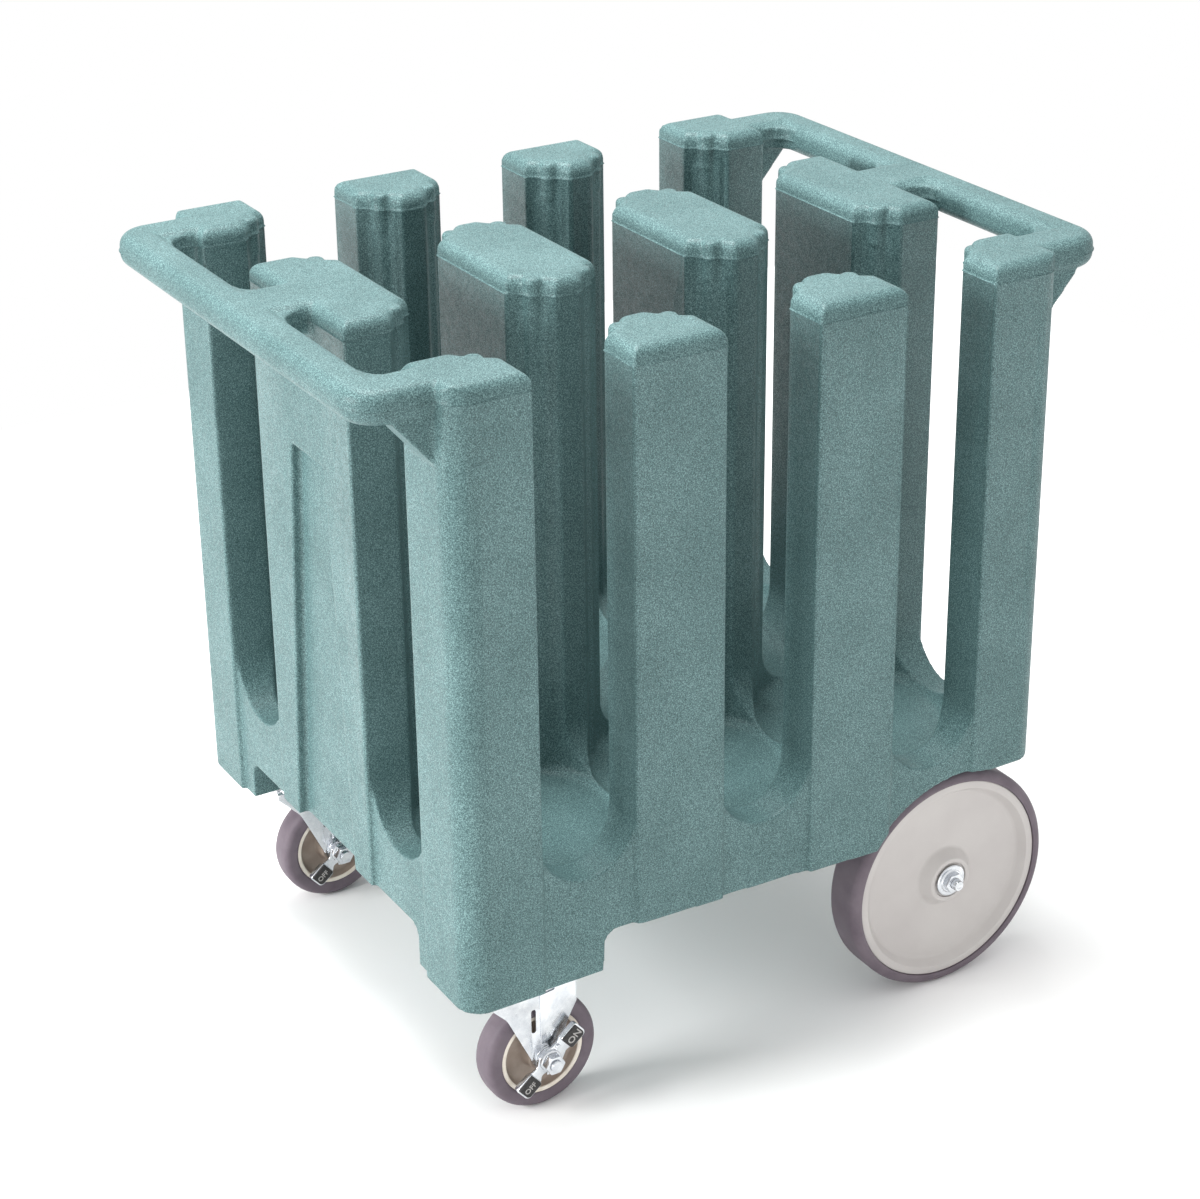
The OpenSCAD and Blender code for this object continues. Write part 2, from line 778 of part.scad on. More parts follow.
module caster_fork(side) {
    color(zinc) at_caster(side) {
        difference() {
            translate([0, 0, crown_z]) {
                cylinder(r = crown_r, h = crown_t);
                translate([fork_back_x, -fork_half, 0])
                    cube([fork_front_x - fork_back_x, 2 * fork_half, crown_t]);
            }
            translate([0, 0, crown_z - over]) cylinder(r = kingpin_r + run_gap, h = crown_t + 2 * over);
        }
        race(crown_top_z, ball_r);
        for (y = [fork_half, -fork_gap / 2]) translate([0, y, 0]) rotate([90, 0, 0])
            linear_extrude(fork_t) cheek_outline();
    }
}

module caster_balls(side) {
    color(zinc) at_caster(side) for (i = [0:ball_count - 1])
        rotate([0, 0, i * 360 / ball_count]) translate([ball_ring_r, 0, ball_z]) sphere(ball_r);
}

module caster_axle_bolt(side) {
    color(zinc) at_caster_axle(side) translate([0, 0, -fork_half]) {
        translate([0, 0, -caster_bolt_head_t]) hexagon(caster_nut_af, caster_bolt_head_t);
        cylinder(r = caster_bolt_r, h = fork_half + caster_nut_y + caster_nut_t + caster_bolt_tail);
    }
}

module caster_axle_nut(side) {
    color(zinc) at_caster_axle(side) translate([0, 0, caster_nut_y]) difference() {
        hexagon(caster_nut_af, caster_nut_t);
        translate([0, 0, -over]) cylinder(r = caster_bolt_r, h = caster_nut_t + 2 * over);
    }
}

module caster_sleeve(side) {
    color(zinc) at_caster_axle(side) translate([0, 0, -fork_gap / 2])
        tube(sleeve_r, caster_bolt_r, fork_gap);
}

module caster_cam(side) {
    color(zinc) at_caster_axle(side) translate([0, 0, fork_half]) tube(cam_r, caster_bolt_r, cam_t);
}

module caster_tyre(side) {
    color(tyre_grey) at_caster_axle(side) rotate_extrude()
        tyre_outline(caster_r, caster_tyre_w, caster_shoulder_r, caster_bed_r, caster_rim_r,
            caster_lip, caster_lip_t);
}

module caster_hub(side) {
    color(hub_brown) at_caster_axle(side) rotate_extrude() difference() {
        union() {
            rim_outline(caster_bed_r, caster_bed_t, caster_rim_r, caster_lip, caster_lip_t);
            translate([0, -caster_web_half]) square([caster_bed_r, 2 * caster_web_half]);
            translate([0, -caster_hub_half]) square([caster_boss_r, 2 * caster_hub_half]);
        }
        translate([0, -caster_hub_half]) square([caster_bearing_r, 2 * caster_hub_half]);
    }
}

module caster_bearing(side) {
    color(nylon) at_caster_axle(side) translate([0, 0, -caster_hub_half])
        tube(caster_bearing_r, sleeve_r + run_gap, 2 * caster_hub_half);
}

// Places children on a brake lever: their X runs up along it and Z points away from the fork
module at_lever(side) {
    at_caster_axle(side) translate([0, 0, lever_y]) rotate([0, 0, lever_lean]) children();
}

module caster_brake_lever(side) {
    end_x = lever_l / 2 - lever_w / 2;
    color(zinc) at_lever(side) difference() {
        union() {
            cylinder(r = lever_hub_r, h = lever_hub_t);
            translate([0, 0, lever_set_out]) linear_extrude(lever_t) {
                square([2 * end_x, lever_waist_w], center = true);
                for (s = [-1, 1]) translate([s * end_x, 0]) circle(lever_w / 2);
            }
        }
        translate([0, 0, -over]) cylinder(r = caster_bolt_r + run_gap, h = lever_hub_t + 2 * over);
    }
}

module caster_brake_pads(side) {
    color(black_pad) at_lever(side) for (s = [-1, 1])
        translate([s * (lever_l / 2 - pad_l / 2), 0, lever_set_out + lever_t])
        rounded_plate(pad_l, lever_w, pad_corner_r, pad_t);
}

body_moulding();
caster_inserts();
axle_inserts();
wheel_axle();
axle_saddles();
axle_saddle_bolts();
axle_spacers();
axle_washers();
axle_nuts();
wheel_tyre(-1);  // front_wheel_tyre
wheel_disc(-1);  // front_wheel_disc
wheel_bearing(-1);  // front_wheel_bearing
wheel_tyre(1);  // back_wheel_tyre
wheel_disc(1);  // back_wheel_disc
wheel_bearing(1);  // back_wheel_bearing
caster_plate(-1);  // front_caster_plate
caster_plate_bolts(-1);  // front_caster_plate_bolts
caster_kingpin(-1);  // front_caster_kingpin
caster_fork(-1);  // front_caster_fork
caster_balls(-1);  // front_caster_balls
caster_axle_bolt(-1);  // front_caster_axle_bolt
caster_axle_nut(-1);  // front_caster_axle_nut
caster_sleeve(-1);  // front_caster_sleeve
caster_cam(-1);  // front_caster_cam
caster_tyre(-1);  // front_caster_tyre
caster_hub(-1);  // front_caster_hub
caster_bearing(-1);  // front_caster_bearing
caster_brake_lever(-1);  // front_caster_brake_lever
caster_brake_pads(-1);  // front_caster_brake_pads
caster_plate(1);  // back_caster_plate
caster_plate_bolts(1);  // back_caster_plate_bolts
caster_kingpin(1);  // back_caster_kingpin
caster_fork(1);  // back_caster_fork
caster_balls(1);  // back_caster_balls
caster_axle_bolt(1);  // back_caster_axle_bolt
caster_axle_nut(1);  // back_caster_axle_nut
caster_sleeve(1);  // back_caster_sleeve
caster_cam(1);  // back_caster_cam
caster_tyre(1);  // back_caster_tyre
caster_hub(1);  // back_caster_hub
caster_bearing(1);  // back_caster_bearing
caster_brake_lever(1);  // back_caster_brake_lever
caster_brake_pads(1);  // back_caster_brake_pads
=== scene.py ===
"""Plate dispenser cart: the finish of a moulded plate caddy, built around its construction model.

Lengths are in metres. +X runs along the body to the large wheels, +Y across it, +Z is up.
"""

import itertools
import json
import math

import bpy
from mathutils import Matrix, Vector

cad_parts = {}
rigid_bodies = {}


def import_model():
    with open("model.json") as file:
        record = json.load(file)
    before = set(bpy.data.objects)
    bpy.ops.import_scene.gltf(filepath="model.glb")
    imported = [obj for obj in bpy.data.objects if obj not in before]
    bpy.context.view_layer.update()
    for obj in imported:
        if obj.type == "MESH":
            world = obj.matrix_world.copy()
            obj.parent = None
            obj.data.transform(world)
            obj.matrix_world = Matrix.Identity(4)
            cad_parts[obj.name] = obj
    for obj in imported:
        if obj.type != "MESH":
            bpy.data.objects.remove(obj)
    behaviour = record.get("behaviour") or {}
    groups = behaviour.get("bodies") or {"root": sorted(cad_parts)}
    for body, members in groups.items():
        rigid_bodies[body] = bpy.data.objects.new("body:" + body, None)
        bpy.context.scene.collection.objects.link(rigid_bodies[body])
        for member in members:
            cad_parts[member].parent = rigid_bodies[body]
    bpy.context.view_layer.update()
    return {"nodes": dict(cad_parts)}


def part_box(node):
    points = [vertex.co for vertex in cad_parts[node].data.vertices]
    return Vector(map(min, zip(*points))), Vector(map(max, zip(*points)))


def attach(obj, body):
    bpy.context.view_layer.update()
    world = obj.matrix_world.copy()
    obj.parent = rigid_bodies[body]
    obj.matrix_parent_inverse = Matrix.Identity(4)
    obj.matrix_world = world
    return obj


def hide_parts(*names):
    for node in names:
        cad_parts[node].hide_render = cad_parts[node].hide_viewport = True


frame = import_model()

# Which way each side of the cart lies along Y
SIDES = {"front": -1, "back": 1}
# Overrun of the cuts
OVER = 0.002
# Vertices closer than this are one
SAME = 0.00001


# Modelling helpers

def only(obj):
    """Selects obj alone and makes it active."""
    bpy.ops.object.select_all(action="DESELECT")
    obj.select_set(True)
    bpy.context.view_layer.objects.active = obj
    return obj


def settled(obj):
    """Puts obj's place, turn and size into its mesh."""
    only(obj)
    bpy.ops.object.transform_apply(location=True, rotation=True, scale=True)
    return obj


def moved(obj, matrix):
    """Moves obj by a matrix, and puts that into its mesh."""
    obj.matrix_world = matrix @ obj.matrix_world
    return settled(obj)


def modified(obj, kind, **settings):
    """Adds one modifier to obj and applies it."""
    only(obj)
    bpy.ops.object.modifier_add(type=kind)
    modifier = obj.modifiers[-1]
    for name, value in settings.items():
        setattr(modifier, name, value)
    bpy.ops.object.modifier_apply(modifier=modifier.name)
    return obj


def cut(obj, *tools):
    """Cuts each tool out of obj."""
    for tool in tools:
        modified(obj, "BOOLEAN", operation="DIFFERENCE", solver="EXACT", object=tool)
        bpy.data.objects.remove(tool)
    return obj


def joined(obj, *others):
    """Joins the other objects to obj without fusing them."""
    only(obj)
    for other in others:
        other.select_set(True)
    bpy.ops.object.join()
    return obj


def copied(obj, name):
    """A copy of obj with its own mesh."""
    only(obj)
    bpy.ops.object.duplicate(linked=False)
    copy = bpy.context.view_layer.objects.active
    copy.name = name
    return copy


def rounded(corners, steps=6):
    """The points of an outline whose corners are (a, b) or, with a rounding, (a, b, radius)."""
    points = []
    for i, corner in enumerate(corners):
        here = Vector(corner[:2])
        radius = corner[2] if len(corner) > 2 else 0
        if radius == 0:
            points.append(here)
            continue
        back = (Vector(corners[i - 1][:2]) - here).normalized()
        ahead = (Vector(corners[(i + 1) % len(corners)][:2]) - here).normalized()
        half = back.angle(ahead) / 2
        middle = here + (back + ahead).normalized() * radius / math.sin(half)
        start = here + back * radius / math.tan(half) - middle
        turn = start.angle_signed(here + ahead * radius / math.tan(half) - middle)
        for k in range(steps + 1):
            spoke = start.copy()
            spoke.rotate(Matrix.Rotation(-turn * k / steps, 2))
            points.append(middle + spoke)
    return points


def outline(name, points, closed=True):
    """An object whose mesh is one line through 3D points."""
    count = len(points)
    edges = [(i, (i + 1) % count) for i in range(count if closed else count - 1)]
    mesh = bpy.data.meshes.new(name)
    mesh.from_pydata([tuple(point) for point in points], edges, [])
    obj = bpy.data.objects.new(name, mesh)
    bpy.context.scene.collection.objects.link(obj)
    return obj


def lathe(name, corners, closed=True, steps=96, smooth=35):
    """Spins an outline of (radius, height) corners about Z. An open outline starts and ends on the axis."""
    obj = outline(name, [(p.x, 0, p.y) for p in rounded(corners)], closed)
    only(obj)
    bpy.ops.object.mode_set(mode="EDIT")
    bpy.ops.mesh.select_all(action="SELECT")
    bpy.ops.mesh.spin(steps=steps, angle=math.tau, center=(0, 0, 0), axis=(0, 0, 1))
    bpy.ops.mesh.select_all(action="SELECT")
    bpy.ops.mesh.remove_doubles(threshold=SAME)
    bpy.ops.mesh.normals_make_consistent(inside=False)
    bpy.ops.object.mode_set(mode="OBJECT")
    bpy.ops.object.shade_smooth_by_angle(angle=math.radians(smooth))
    return obj


def slab(name, corners, low, high, edge=0.0, segments=2, smooth=35):
    """An outline of (x, y) corners extruded from low to high along Z, with its edges rounded."""
    obj = outline(name, [(p.x, p.y, low) for p in rounded(corners)])
    only(obj)
    bpy.ops.object.mode_set(mode="EDIT")
    bpy.ops.mesh.select_all(action="SELECT")
    bpy.ops.mesh.edge_face_add()
    bpy.ops.mesh.extrude_region_move(TRANSFORM_OT_translate={"value": (0, 0, high - low)})
    bpy.ops.mesh.select_all(action="SELECT")
    bpy.ops.mesh.normals_make_consistent(inside=False)
    bpy.ops.object.mode_set(mode="OBJECT")
    if edge > 0:
        modified(obj, "BEVEL", width=edge, segments=segments, limit_method="ANGLE",
                 angle_limit=math.radians(40))
    only(obj)
    bpy.ops.object.shade_smooth_by_angle(angle=math.radians(smooth))
    return obj


def finished(obj, material, body, slot, *nodes):
    """Gives a piece its material, its body and the construction nodes that it stands for, which it hides. Its
    slot is not used.
    """
    obj.data.materials.clear()
    obj.data.materials.append(material)
    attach(obj, body)
    if nodes:
        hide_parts(*nodes)
    return obj


# Materials

# Noise is turned, because it fades on a flat face that runs along its own grid
NOISE_TURN = (0.6, 0.4, 0.9)


class Finish:
    """A node material under construction: its nodes, its shader and its object coordinates."""

    def __init__(self, name, roughness, metallic=0.0, specular=0.5):
        self.material = bpy.data.materials.new(name)
        self.material.use_nodes = True
        self.nodes = self.material.node_tree.nodes
        self.links = self.material.node_tree.links
        self.shader = self.nodes["Principled BSDF"]
        self.shader.inputs["Roughness"].default_value = roughness
        self.shader.inputs["Metallic"].default_value = metallic
        self.shader.inputs["Specular IOR Level"].default_value = specular
        self.place = self.nodes.new("ShaderNodeTexCoord").outputs["Object"]

    def noise(self, scale, detail=2.0, roughness=0.5):
        """Noise with scale features per metre."""
        mapping = self.nodes.new("ShaderNodeMapping")
        mapping.inputs["Rotation"].default_value = NOISE_TURN
        self.links.new(self.place, mapping.inputs["Vector"])
        node = self.nodes.new("ShaderNodeTexNoise")
        node.inputs["Scale"].default_value = scale
        node.inputs["Detail"].default_value = detail
        node.inputs["Roughness"].default_value = roughness
        self.links.new(mapping.outputs["Vector"], node.inputs["Vector"])
        return node.outputs["Fac"]

    def ramp(self, value, stops):
        """A colour ramp of (place, colour) stops over a value."""
        node = self.nodes.new("ShaderNodeValToRGB")
        elements = node.color_ramp.elements
        for i, (at, colour) in enumerate(stops):
            element = elements[i] if i < len(elements) else elements.new(at)
            element.position = at
            element.color = (*colour, 1)
        self.links.new(value, node.inputs["Fac"])
        return node.outputs["Color"]

    def grey(self, value, low, high, start=0.3, end=0.7):
        """Maps a value between start and end to low and high."""
        node = self.nodes.new("ShaderNodeMapRange")
        for name, number in (("From Min", start), ("From Max", end), ("To Min", low), ("To Max", high)):
            node.inputs[name].default_value = number
        self.links.new(value, node.inputs["Value"])
        return node.outputs["Result"]

    def tinted(self, colour, tint):
        """Multiplies two colours."""
        node = self.nodes.new("ShaderNodeMix")
        node.data_type = "RGBA"
        node.blend_type = "MULTIPLY"
        inputs = {socket.name: socket for socket in node.inputs if socket.enabled}
        inputs["Factor"].default_value = 1.0
        self.links.new(colour, inputs["A"])
        self.links.new(tint, inputs["B"])
        return next(socket for socket in node.outputs if socket.enabled)

    def colour(self, socket):
        """Gives the surface its colour."""
        self.links.new(socket, self.shader.inputs["Base Color"])

    def rough(self, socket):
        """Gives the surface its roughness."""
        self.links.new(socket, self.shader.inputs["Roughness"])

    def bump(self, value, height):
        """Adds relief of a height in metres, on top of the relief so far."""
        node = self.nodes.new("ShaderNodeBump")
        node.inputs["Strength"].default_value = 1
        node.inputs["Distance"].default_value = height
        self.links.new(value, node.inputs["Height"])
        normal = self.shader.inputs["Normal"]
        if normal.is_linked:
            self.links.new(normal.links[0].from_socket, node.inputs["Normal"])
        self.links.new(node.outputs["Normal"], normal)


def linear(red, green, blue):
    """A linear colour from red, green and blue as seen on screen, 0 to 255."""
    def one(value):
        share = value / 255
        return share / 12.92 if share <= 0.04045 else ((share + 0.055) / 1.055) ** 2.4
    return one(red), one(green), one(blue)


def moulded_plastic():
    """Speckled grey-green polyethylene with a faint orange peel."""
    finish = Finish("speckled_polyethylene", roughness=0.5, specular=0.28)
    fleck = finish.noise(850, detail=1.5, roughness=0.6)
    cloud = finish.noise(14, detail=3)
    speckle = finish.ramp(fleck, [(0.34, linear(54, 80, 81)), (0.5, linear(82, 110, 111)),
                                  (0.66, linear(118, 149, 149))])
    tint = finish.ramp(cloud, [(0.35, linear(232, 236, 236)), (0.65, linear(255, 255, 255))])
    finish.colour(finish.tinted(speckle, tint))
    finish.rough(finish.grey(finish.noise(160), 0.42, 0.58))
    finish.bump(finish.noise(330, detail=2), 0.00010)
    finish.bump(finish.noise(38, detail=1), 0.0005)
    return finish.material


def tyre_rubber():
    """Warm grey non-marking rubber, slightly dusty."""
    finish = Finish("grey_rubber", roughness=0.6, specular=0.35)
    finish.colour(finish.ramp(finish.noise(45, detail=5, roughness=0.65),
                              [(0.3, linear(92, 82, 91)), (0.7, linear(112, 102, 110))]))
    finish.rough(finish.grey(finish.noise(90, detail=4), 0.5, 0.68))
    finish.bump(finish.noise(1400, detail=2), 0.00008)
    return finish.material


def disc_plastic():
    """Off-white moulded plastic of the large wheels."""
    finish = Finish("off_white_plastic", roughness=0.4, specular=0.45)
    finish.colour(finish.ramp(finish.noise(11, detail=4),
                              [(0.3, linear(180, 175, 173)), (0.7, linear(192, 188, 185))]))
    finish.rough(finish.grey(finish.noise(60, detail=4), 0.34, 0.48))
    finish.bump(finish.noise(240, detail=2), 0.00005)
    return finish.material


def hub_plastic():
    """Beige-brown plastic of the caster hubs."""
    finish = Finish("beige_plastic", roughness=0.42, specular=0.45)
    finish.colour(finish.ramp(finish.noise(60, detail=4),
                              [(0.3, linear(140, 125, 114)), (0.7, linear(164, 150, 138))]))
    finish.rough(finish.grey(finish.noise(200, detail=3), 0.36, 0.5))
    finish.bump(finish.noise(700, detail=2), 0.00003)
    return finish.material


def hub_lip_plastic():
    """Pale lip ring round the caster hubs."""
    finish = Finish("pale_lip", roughness=0.4, specular=0.45)
    finish.colour(finish.ramp(finish.noise(80, detail=4),
                              [(0.3, linear(214, 204, 190)), (0.7, linear(234, 227, 216))]))
    finish.rough(finish.grey(finish.noise(220, detail=3), 0.34, 0.46))
    return finish.material


def zinc_plate():
    """Bright zinc-plated steel with a faint grain."""
    finish = Finish("bright_zinc", roughness=0.2, metallic=1.0)
    finish.colour(finish.ramp(finish.noise(70, detail=5, roughness=0.7),
                              [(0.3, linear(196, 200, 206)), (0.7, linear(232, 234, 236))]))
    finish.rough(finish.grey(finish.noise(260, detail=5, roughness=0.7), 0.12, 0.3))
    finish.bump(finish.noise(900, detail=3), 0.00002)
    return finish.material


def raceway_steel():
    """Dark greased steel of the ball races and hidden fasteners."""
    finish = Finish("dark_steel", roughness=0.4, metallic=1.0)
    finish.colour(finish.ramp(finish.noise(180, detail=5),
                              [(0.3, linear(52, 50, 50)), (0.7, linear(104, 102, 101))]))
    finish.rough(finish.grey(finish.noise(420, detail=4), 0.3, 0.5))
    return finish.material


def nylon():
    """Natural nylon of the wheel bushes."""
    finish = Finish("natural_nylon", roughness=0.35)
    finish.colour(finish.ramp(finish.noise(90, detail=3),
                              [(0.3, linear(222, 216, 200)), (0.7, linear(236, 231, 218))]))
    finish.rough(finish.grey(finish.noise(300, detail=3), 0.3, 0.42))
    return finish.material


def pad_plastic():
    """Black pedal plastic, slightly scuffed."""
    finish = Finish("black_plastic", roughness=0.45)
    finish.colour(finish.ramp(finish.noise(260, detail=5, roughness=0.7),
                              [(0.4, linear(24, 23, 24)), (0.75, linear(52, 50, 50))]))
    finish.rough(finish.grey(finish.noise(500, detail=4), 0.38, 0.6))
    finish.bump(finish.noise(1600, detail=2), 0.00004)
    return finish.material


def letter_paint():
    """Pale paint in the raised letters of the pedals."""
    finish = Finish("pale_paint", roughness=0.5)
    finish.colour(finish.ramp(finish.noise(900, detail=3),
                              [(0.3, linear(142, 140, 138)), (0.7, linear(186, 184, 181))]))
    return finish.material


MOULDED = moulded_plastic()
RUBBER = tyre_rubber()
DISC = disc_plastic()
HUB = hub_plastic()
HUB_LIP = hub_lip_plastic()
ZINC = zinc_plate()
DARK_STEEL = raceway_steel()
NYLON = nylon()
PAD = pad_plastic()
LETTERS = letter_paint()


# Body moulding

TOP_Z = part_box("body_moulding")[1].z
# The grid that the body's skin is made anew on, and its most faces
VOXEL = 0.0022
MOST_FACES = 155000
# The parting line: its drop below the tops, half its width and its height
FLASH_DROP = 0.018
FLASH_HALF = 0.0010
FLASH_PROUD = 0.0012
# The slots across the body, and the fine lines that run down from their edges at the long sides
SLOT_X = (-0.206, 0, 0.206)
SLOT_HALF = 0.0525
SLOT_FLOOR_Z = 0.284
EDGE_LINE_HALF = 0.0008
EDGE_LINE_PROUD = 0.0006
EDGE_LINE_FOOT_Z = 0.224
EDGE_LINE_HEAD_Z = SLOT_FLOOR_Z - 0.004
# How near to the side face a vertex counts as on it
SIDE_DEPTH = 0.002
# The wells, and the rounded tops of the ribs that stand in them
WELL_R = 0.1055
WELL_Y = 0.162
LONG_SLOT_HALF = 0.0565
RIB_R = 0.010
RIB_ANGLE = (math.asin(LONG_SLOT_HALF / WELL_R) + math.acos(SLOT_HALF / WELL_R)) / 2
RIB_TOP_PROUD = 0.0055
RIB_TOP_LENGTH = 0.040
RIB_TOP_DROP = 0.0010
RIB_TOP_EDGE = 0.0040
# The handles, with the rounding of their inside corners
HANDLE_BAR_W = 0.041
HANDLE_BAR_H = 0.034
HANDLE_ARM_W = 0.052
HANDLE_NECK_W = 0.074
HANDLE_INSET = 0.024
FILLET_R = 0.022
FILLET_EDGE = 0.004
FILLET_STEPS = 7
# How far that rounding's pieces reach into the handle
FILLET_ROOT = OVER


def outer_skin():
    """A copy of the construction moulding, without the sealed wall of its hollow."""
    body = frame["nodes"]["body_moulding"]
    skin = bpy.data.objects.new("body_shell", body.data.copy())
    bpy.context.scene.collection.objects.link(skin)
    only(skin)
    bpy.ops.object.mode_set(mode="EDIT")
    bpy.ops.mesh.select_all(action="SELECT")
    bpy.ops.mesh.remove_doubles(threshold=SAME)
    bpy.ops.mesh.select_all(action="DESELECT")
    bpy.ops.object.mode_set(mode="OBJECT")
    furthest = max(skin.data.vertices, key=lambda vertex: vertex.co.x)
    furthest.select = True
    bpy.ops.object.mode_set(mode="EDIT")
    bpy.ops.mesh.select_linked()
    bpy.ops.mesh.select_all(action="INVERT")
    bpy.ops.mesh.delete(type="VERT")
    bpy.ops.object.mode_set(mode="OBJECT")
    return skin


def seam(obj, place, normal, half, proud, kept):
    """Raises a fine line where a plane meets obj, along the vertices for which kept says so."""
    place, normal = Vector(place), Vector(normal)
    only(obj)
    for offset in (-half, 0, half):
        bpy.ops.object.mode_set(mode="EDIT")
        bpy.ops.mesh.select_all(action="SELECT")
        bpy.ops.mesh.bisect(plane_co=place + normal * offset, plane_no=normal)
        bpy.ops.object.mode_set(mode="OBJECT")
    for vertex in obj.data.vertices:
        if abs((vertex.co - place).dot(normal)) < SAME and kept(vertex):
            out = vertex.normal - normal * vertex.normal.dot(normal)
            vertex.co += out.normalized() * proud
    return obj


def seams(obj):
    """The mould's parting line round the tops, and the fine lines under the slots at the long sides."""
    seam(obj, (0, 0, TOP_Z - FLASH_DROP), (0, 0, 1), FLASH_HALF, FLASH_PROUD, lambda vertex: True)
    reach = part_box("body_moulding")[1].y - SIDE_DEPTH

    def on_side(vertex):
        return abs(vertex.co.y) > reach and EDGE_LINE_FOOT_Z < vertex.co.z < EDGE_LINE_HEAD_Z
    for x in SLOT_X:
        for edge in (-SLOT_HALF, SLOT_HALF):
            seam(obj, (x + edge, 0, 0), (1, 0, 0), EDGE_LINE_HALF, EDGE_LINE_PROUD, on_side)


def corner_fillets():
    """Closed pieces that round the inside corners of both handles, to be fused with the body."""
    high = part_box("body_moulding")[1]
    bar = high.x - HANDLE_BAR_W
    middle = high.z - HANDLE_BAR_H / 2
    half = HANDLE_BAR_H / 2 - FILLET_EDGE
    turns = [math.radians(90) * k / FILLET_STEPS for k in range(1, FILLET_STEPS)]
    neck_side, arm_side = HANDLE_NECK_W / 2, high.y - HANDLE_INSET - HANDLE_ARM_W
    pieces = []
    for (y, way), end, side in itertools.product(((neck_side, 1), (arm_side, -1)), (-1, 1), (-1, 1)):
        # Distances from the bar's inner face towards the body, and from the neck or arm into the gap
        points = [(-FILLET_ROOT, -FILLET_ROOT), (-FILLET_ROOT, FILLET_R), (0, FILLET_R)]
        points += [(FILLET_R * (1 - math.cos(turn)), FILLET_R * (1 - math.sin(turn))) for turn in turns]
        points += [(FILLET_R, 0), (FILLET_R, -FILLET_ROOT)]
        corners = [(end * (bar - inward), side * (y + way * across)) for inward, across in points]
        pieces.append(slab("handle_fillet", corners, middle - half, middle + half))
    return pieces


def rib_tops():
    """Closed pieces that carry each rib up to its post's top, to be fused with the body."""
    pieces = []
    reach = WELL_R + RIB_R - RIB_TOP_PROUD
    high = TOP_Z - RIB_TOP_DROP
    low = high - RIB_TOP_LENGTH
    for x, y, along, across in itertools.product(SLOT_X, (-WELL_Y, WELL_Y), (-1, 1), (-1, 1)):
        top = lathe("rib_top", [(0, low), (RIB_R, low), (RIB_R, high, RIB_TOP_EDGE), (0, high)],
                    closed=False, steps=32)
        place = (x + along * reach * math.cos(RIB_ANGLE), y + across * reach * math.sin(RIB_ANGLE), 0)
        pieces.append(moved(top, Matrix.Translation(place)))
    return pieces


def body_shell():
    """The body moulding with soft edges, its parting line and its ribs' tops."""
    skin = outer_skin()
    joined(skin, *corner_fillets(), *rib_tops())
    modified(skin, "REMESH", mode="VOXEL", voxel_size=VOXEL)
    modified(skin, "SMOOTH", factor=0.5, iterations=2)
    faces = 2 * len(skin.data.polygons)
    modified(skin, "DECIMATE", ratio=min(1.0, MOST_FACES / faces))
    seams(skin)
    only(skin)
    bpy.ops.object.shade_smooth()
    return finished(skin, MOULDED, "cart", "moulding", "body_moulding")


body_shell()


# Large wheels and their fastenings

# The lip of a large disc: how far it lies inside the tyre's face, its thickness and its height
DISC_LIP_INSET = 0.002
DISC_LIP_T = 0.002
DISC_LIP_H = 0.007
# The rim's inner slope beside the lip: its radii are this much less than the disc's
RIM_SLOPE_HEAD = 0.0085
RIM_SLOPE_SHOULDER = 0.0095
RIM_SLOPE_FOOT = 0.0155
RIM_SLOPE_DROP = 0.0012
# The same slope at the back of the disc
BACK_SLOPE_HEAD = 0.013
BACK_SLOPE_FOOT = 0.017
# The web of a large disc: its depth below the lip, and its thickness
WEB_DEPTH = 0.009
WEB_T = 0.008
# The boss of a large disc, in front and at the back, and the recess for its washer
BOSS_R = 0.025
BOSS_FOOT_R = 0.034
BOSS_BACK_R = 0.027
BOSS_BACK_FOOT_R = 0.036
RECESS_R = 0.0203
RECESS_TAPER = 0.0003
RECESS_DEPTH = 0.002
# The tyre of a large wheel: its shoulder's rounding, its inner edge and its gap to the disc
TYRE_SHOULDER_R = 0.009
TYRE_EDGE_W = 0.003
TYRE_EDGE_DROP = 0.0006
TYRE_GAP = 0.0003
# The axle's washers, with a domed middle, and its nuts
WASHER_T = 0.003
WASHER_BORE = 0.0085
WASHER_EDGE_T = 0.0012
WASHER_FLAT_T = 0.0018
WASHER_DOME_FOOT = 0.0045
WASHER_DOME_HEAD = 0.0055
AXLE_NUT_T = 0.006
AXLE_NUT_AF = 0.020
AXLE_NUT_BORE = 0.0062
# The threaded axle ends: radii and depths of the thread, its blunt tip and the centre hole
THREAD_CORE_R = 0.0050
THREAD_ROOT_R = 0.0057
THREAD_CREST_R = 0.0061
THREAD_TURNS = 3
THREAD_RUN_OUT = 0.0015
TIP_R = 0.0053
TIP_L = 0.0006
TIP_CHAMFER = 0.0012
CENTRE_R = 0.0032
CENTRE_FLOOR_R = 0.0026
CENTRE_FLOOR_L = 0.0001
# How a nut's chamfer is cut: its share of the corner, and of the flats at the top
CHAMFER_SHARE = 0.6
CHAMFER_TOP_SHARE = 0.96
NUT_EDGE = 0.0003


def middle_and_size(node):
    """The middle and the size of a construction node."""
    low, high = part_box(node)
    return (low + high) / 2, high - low


def both_faces(corners):
    """A wheel's half section on its +Z side, closed by its mirror image on the other side."""
    return corners + [(corner[0], -corner[1], *corner[2:]) for corner in reversed(corners)]


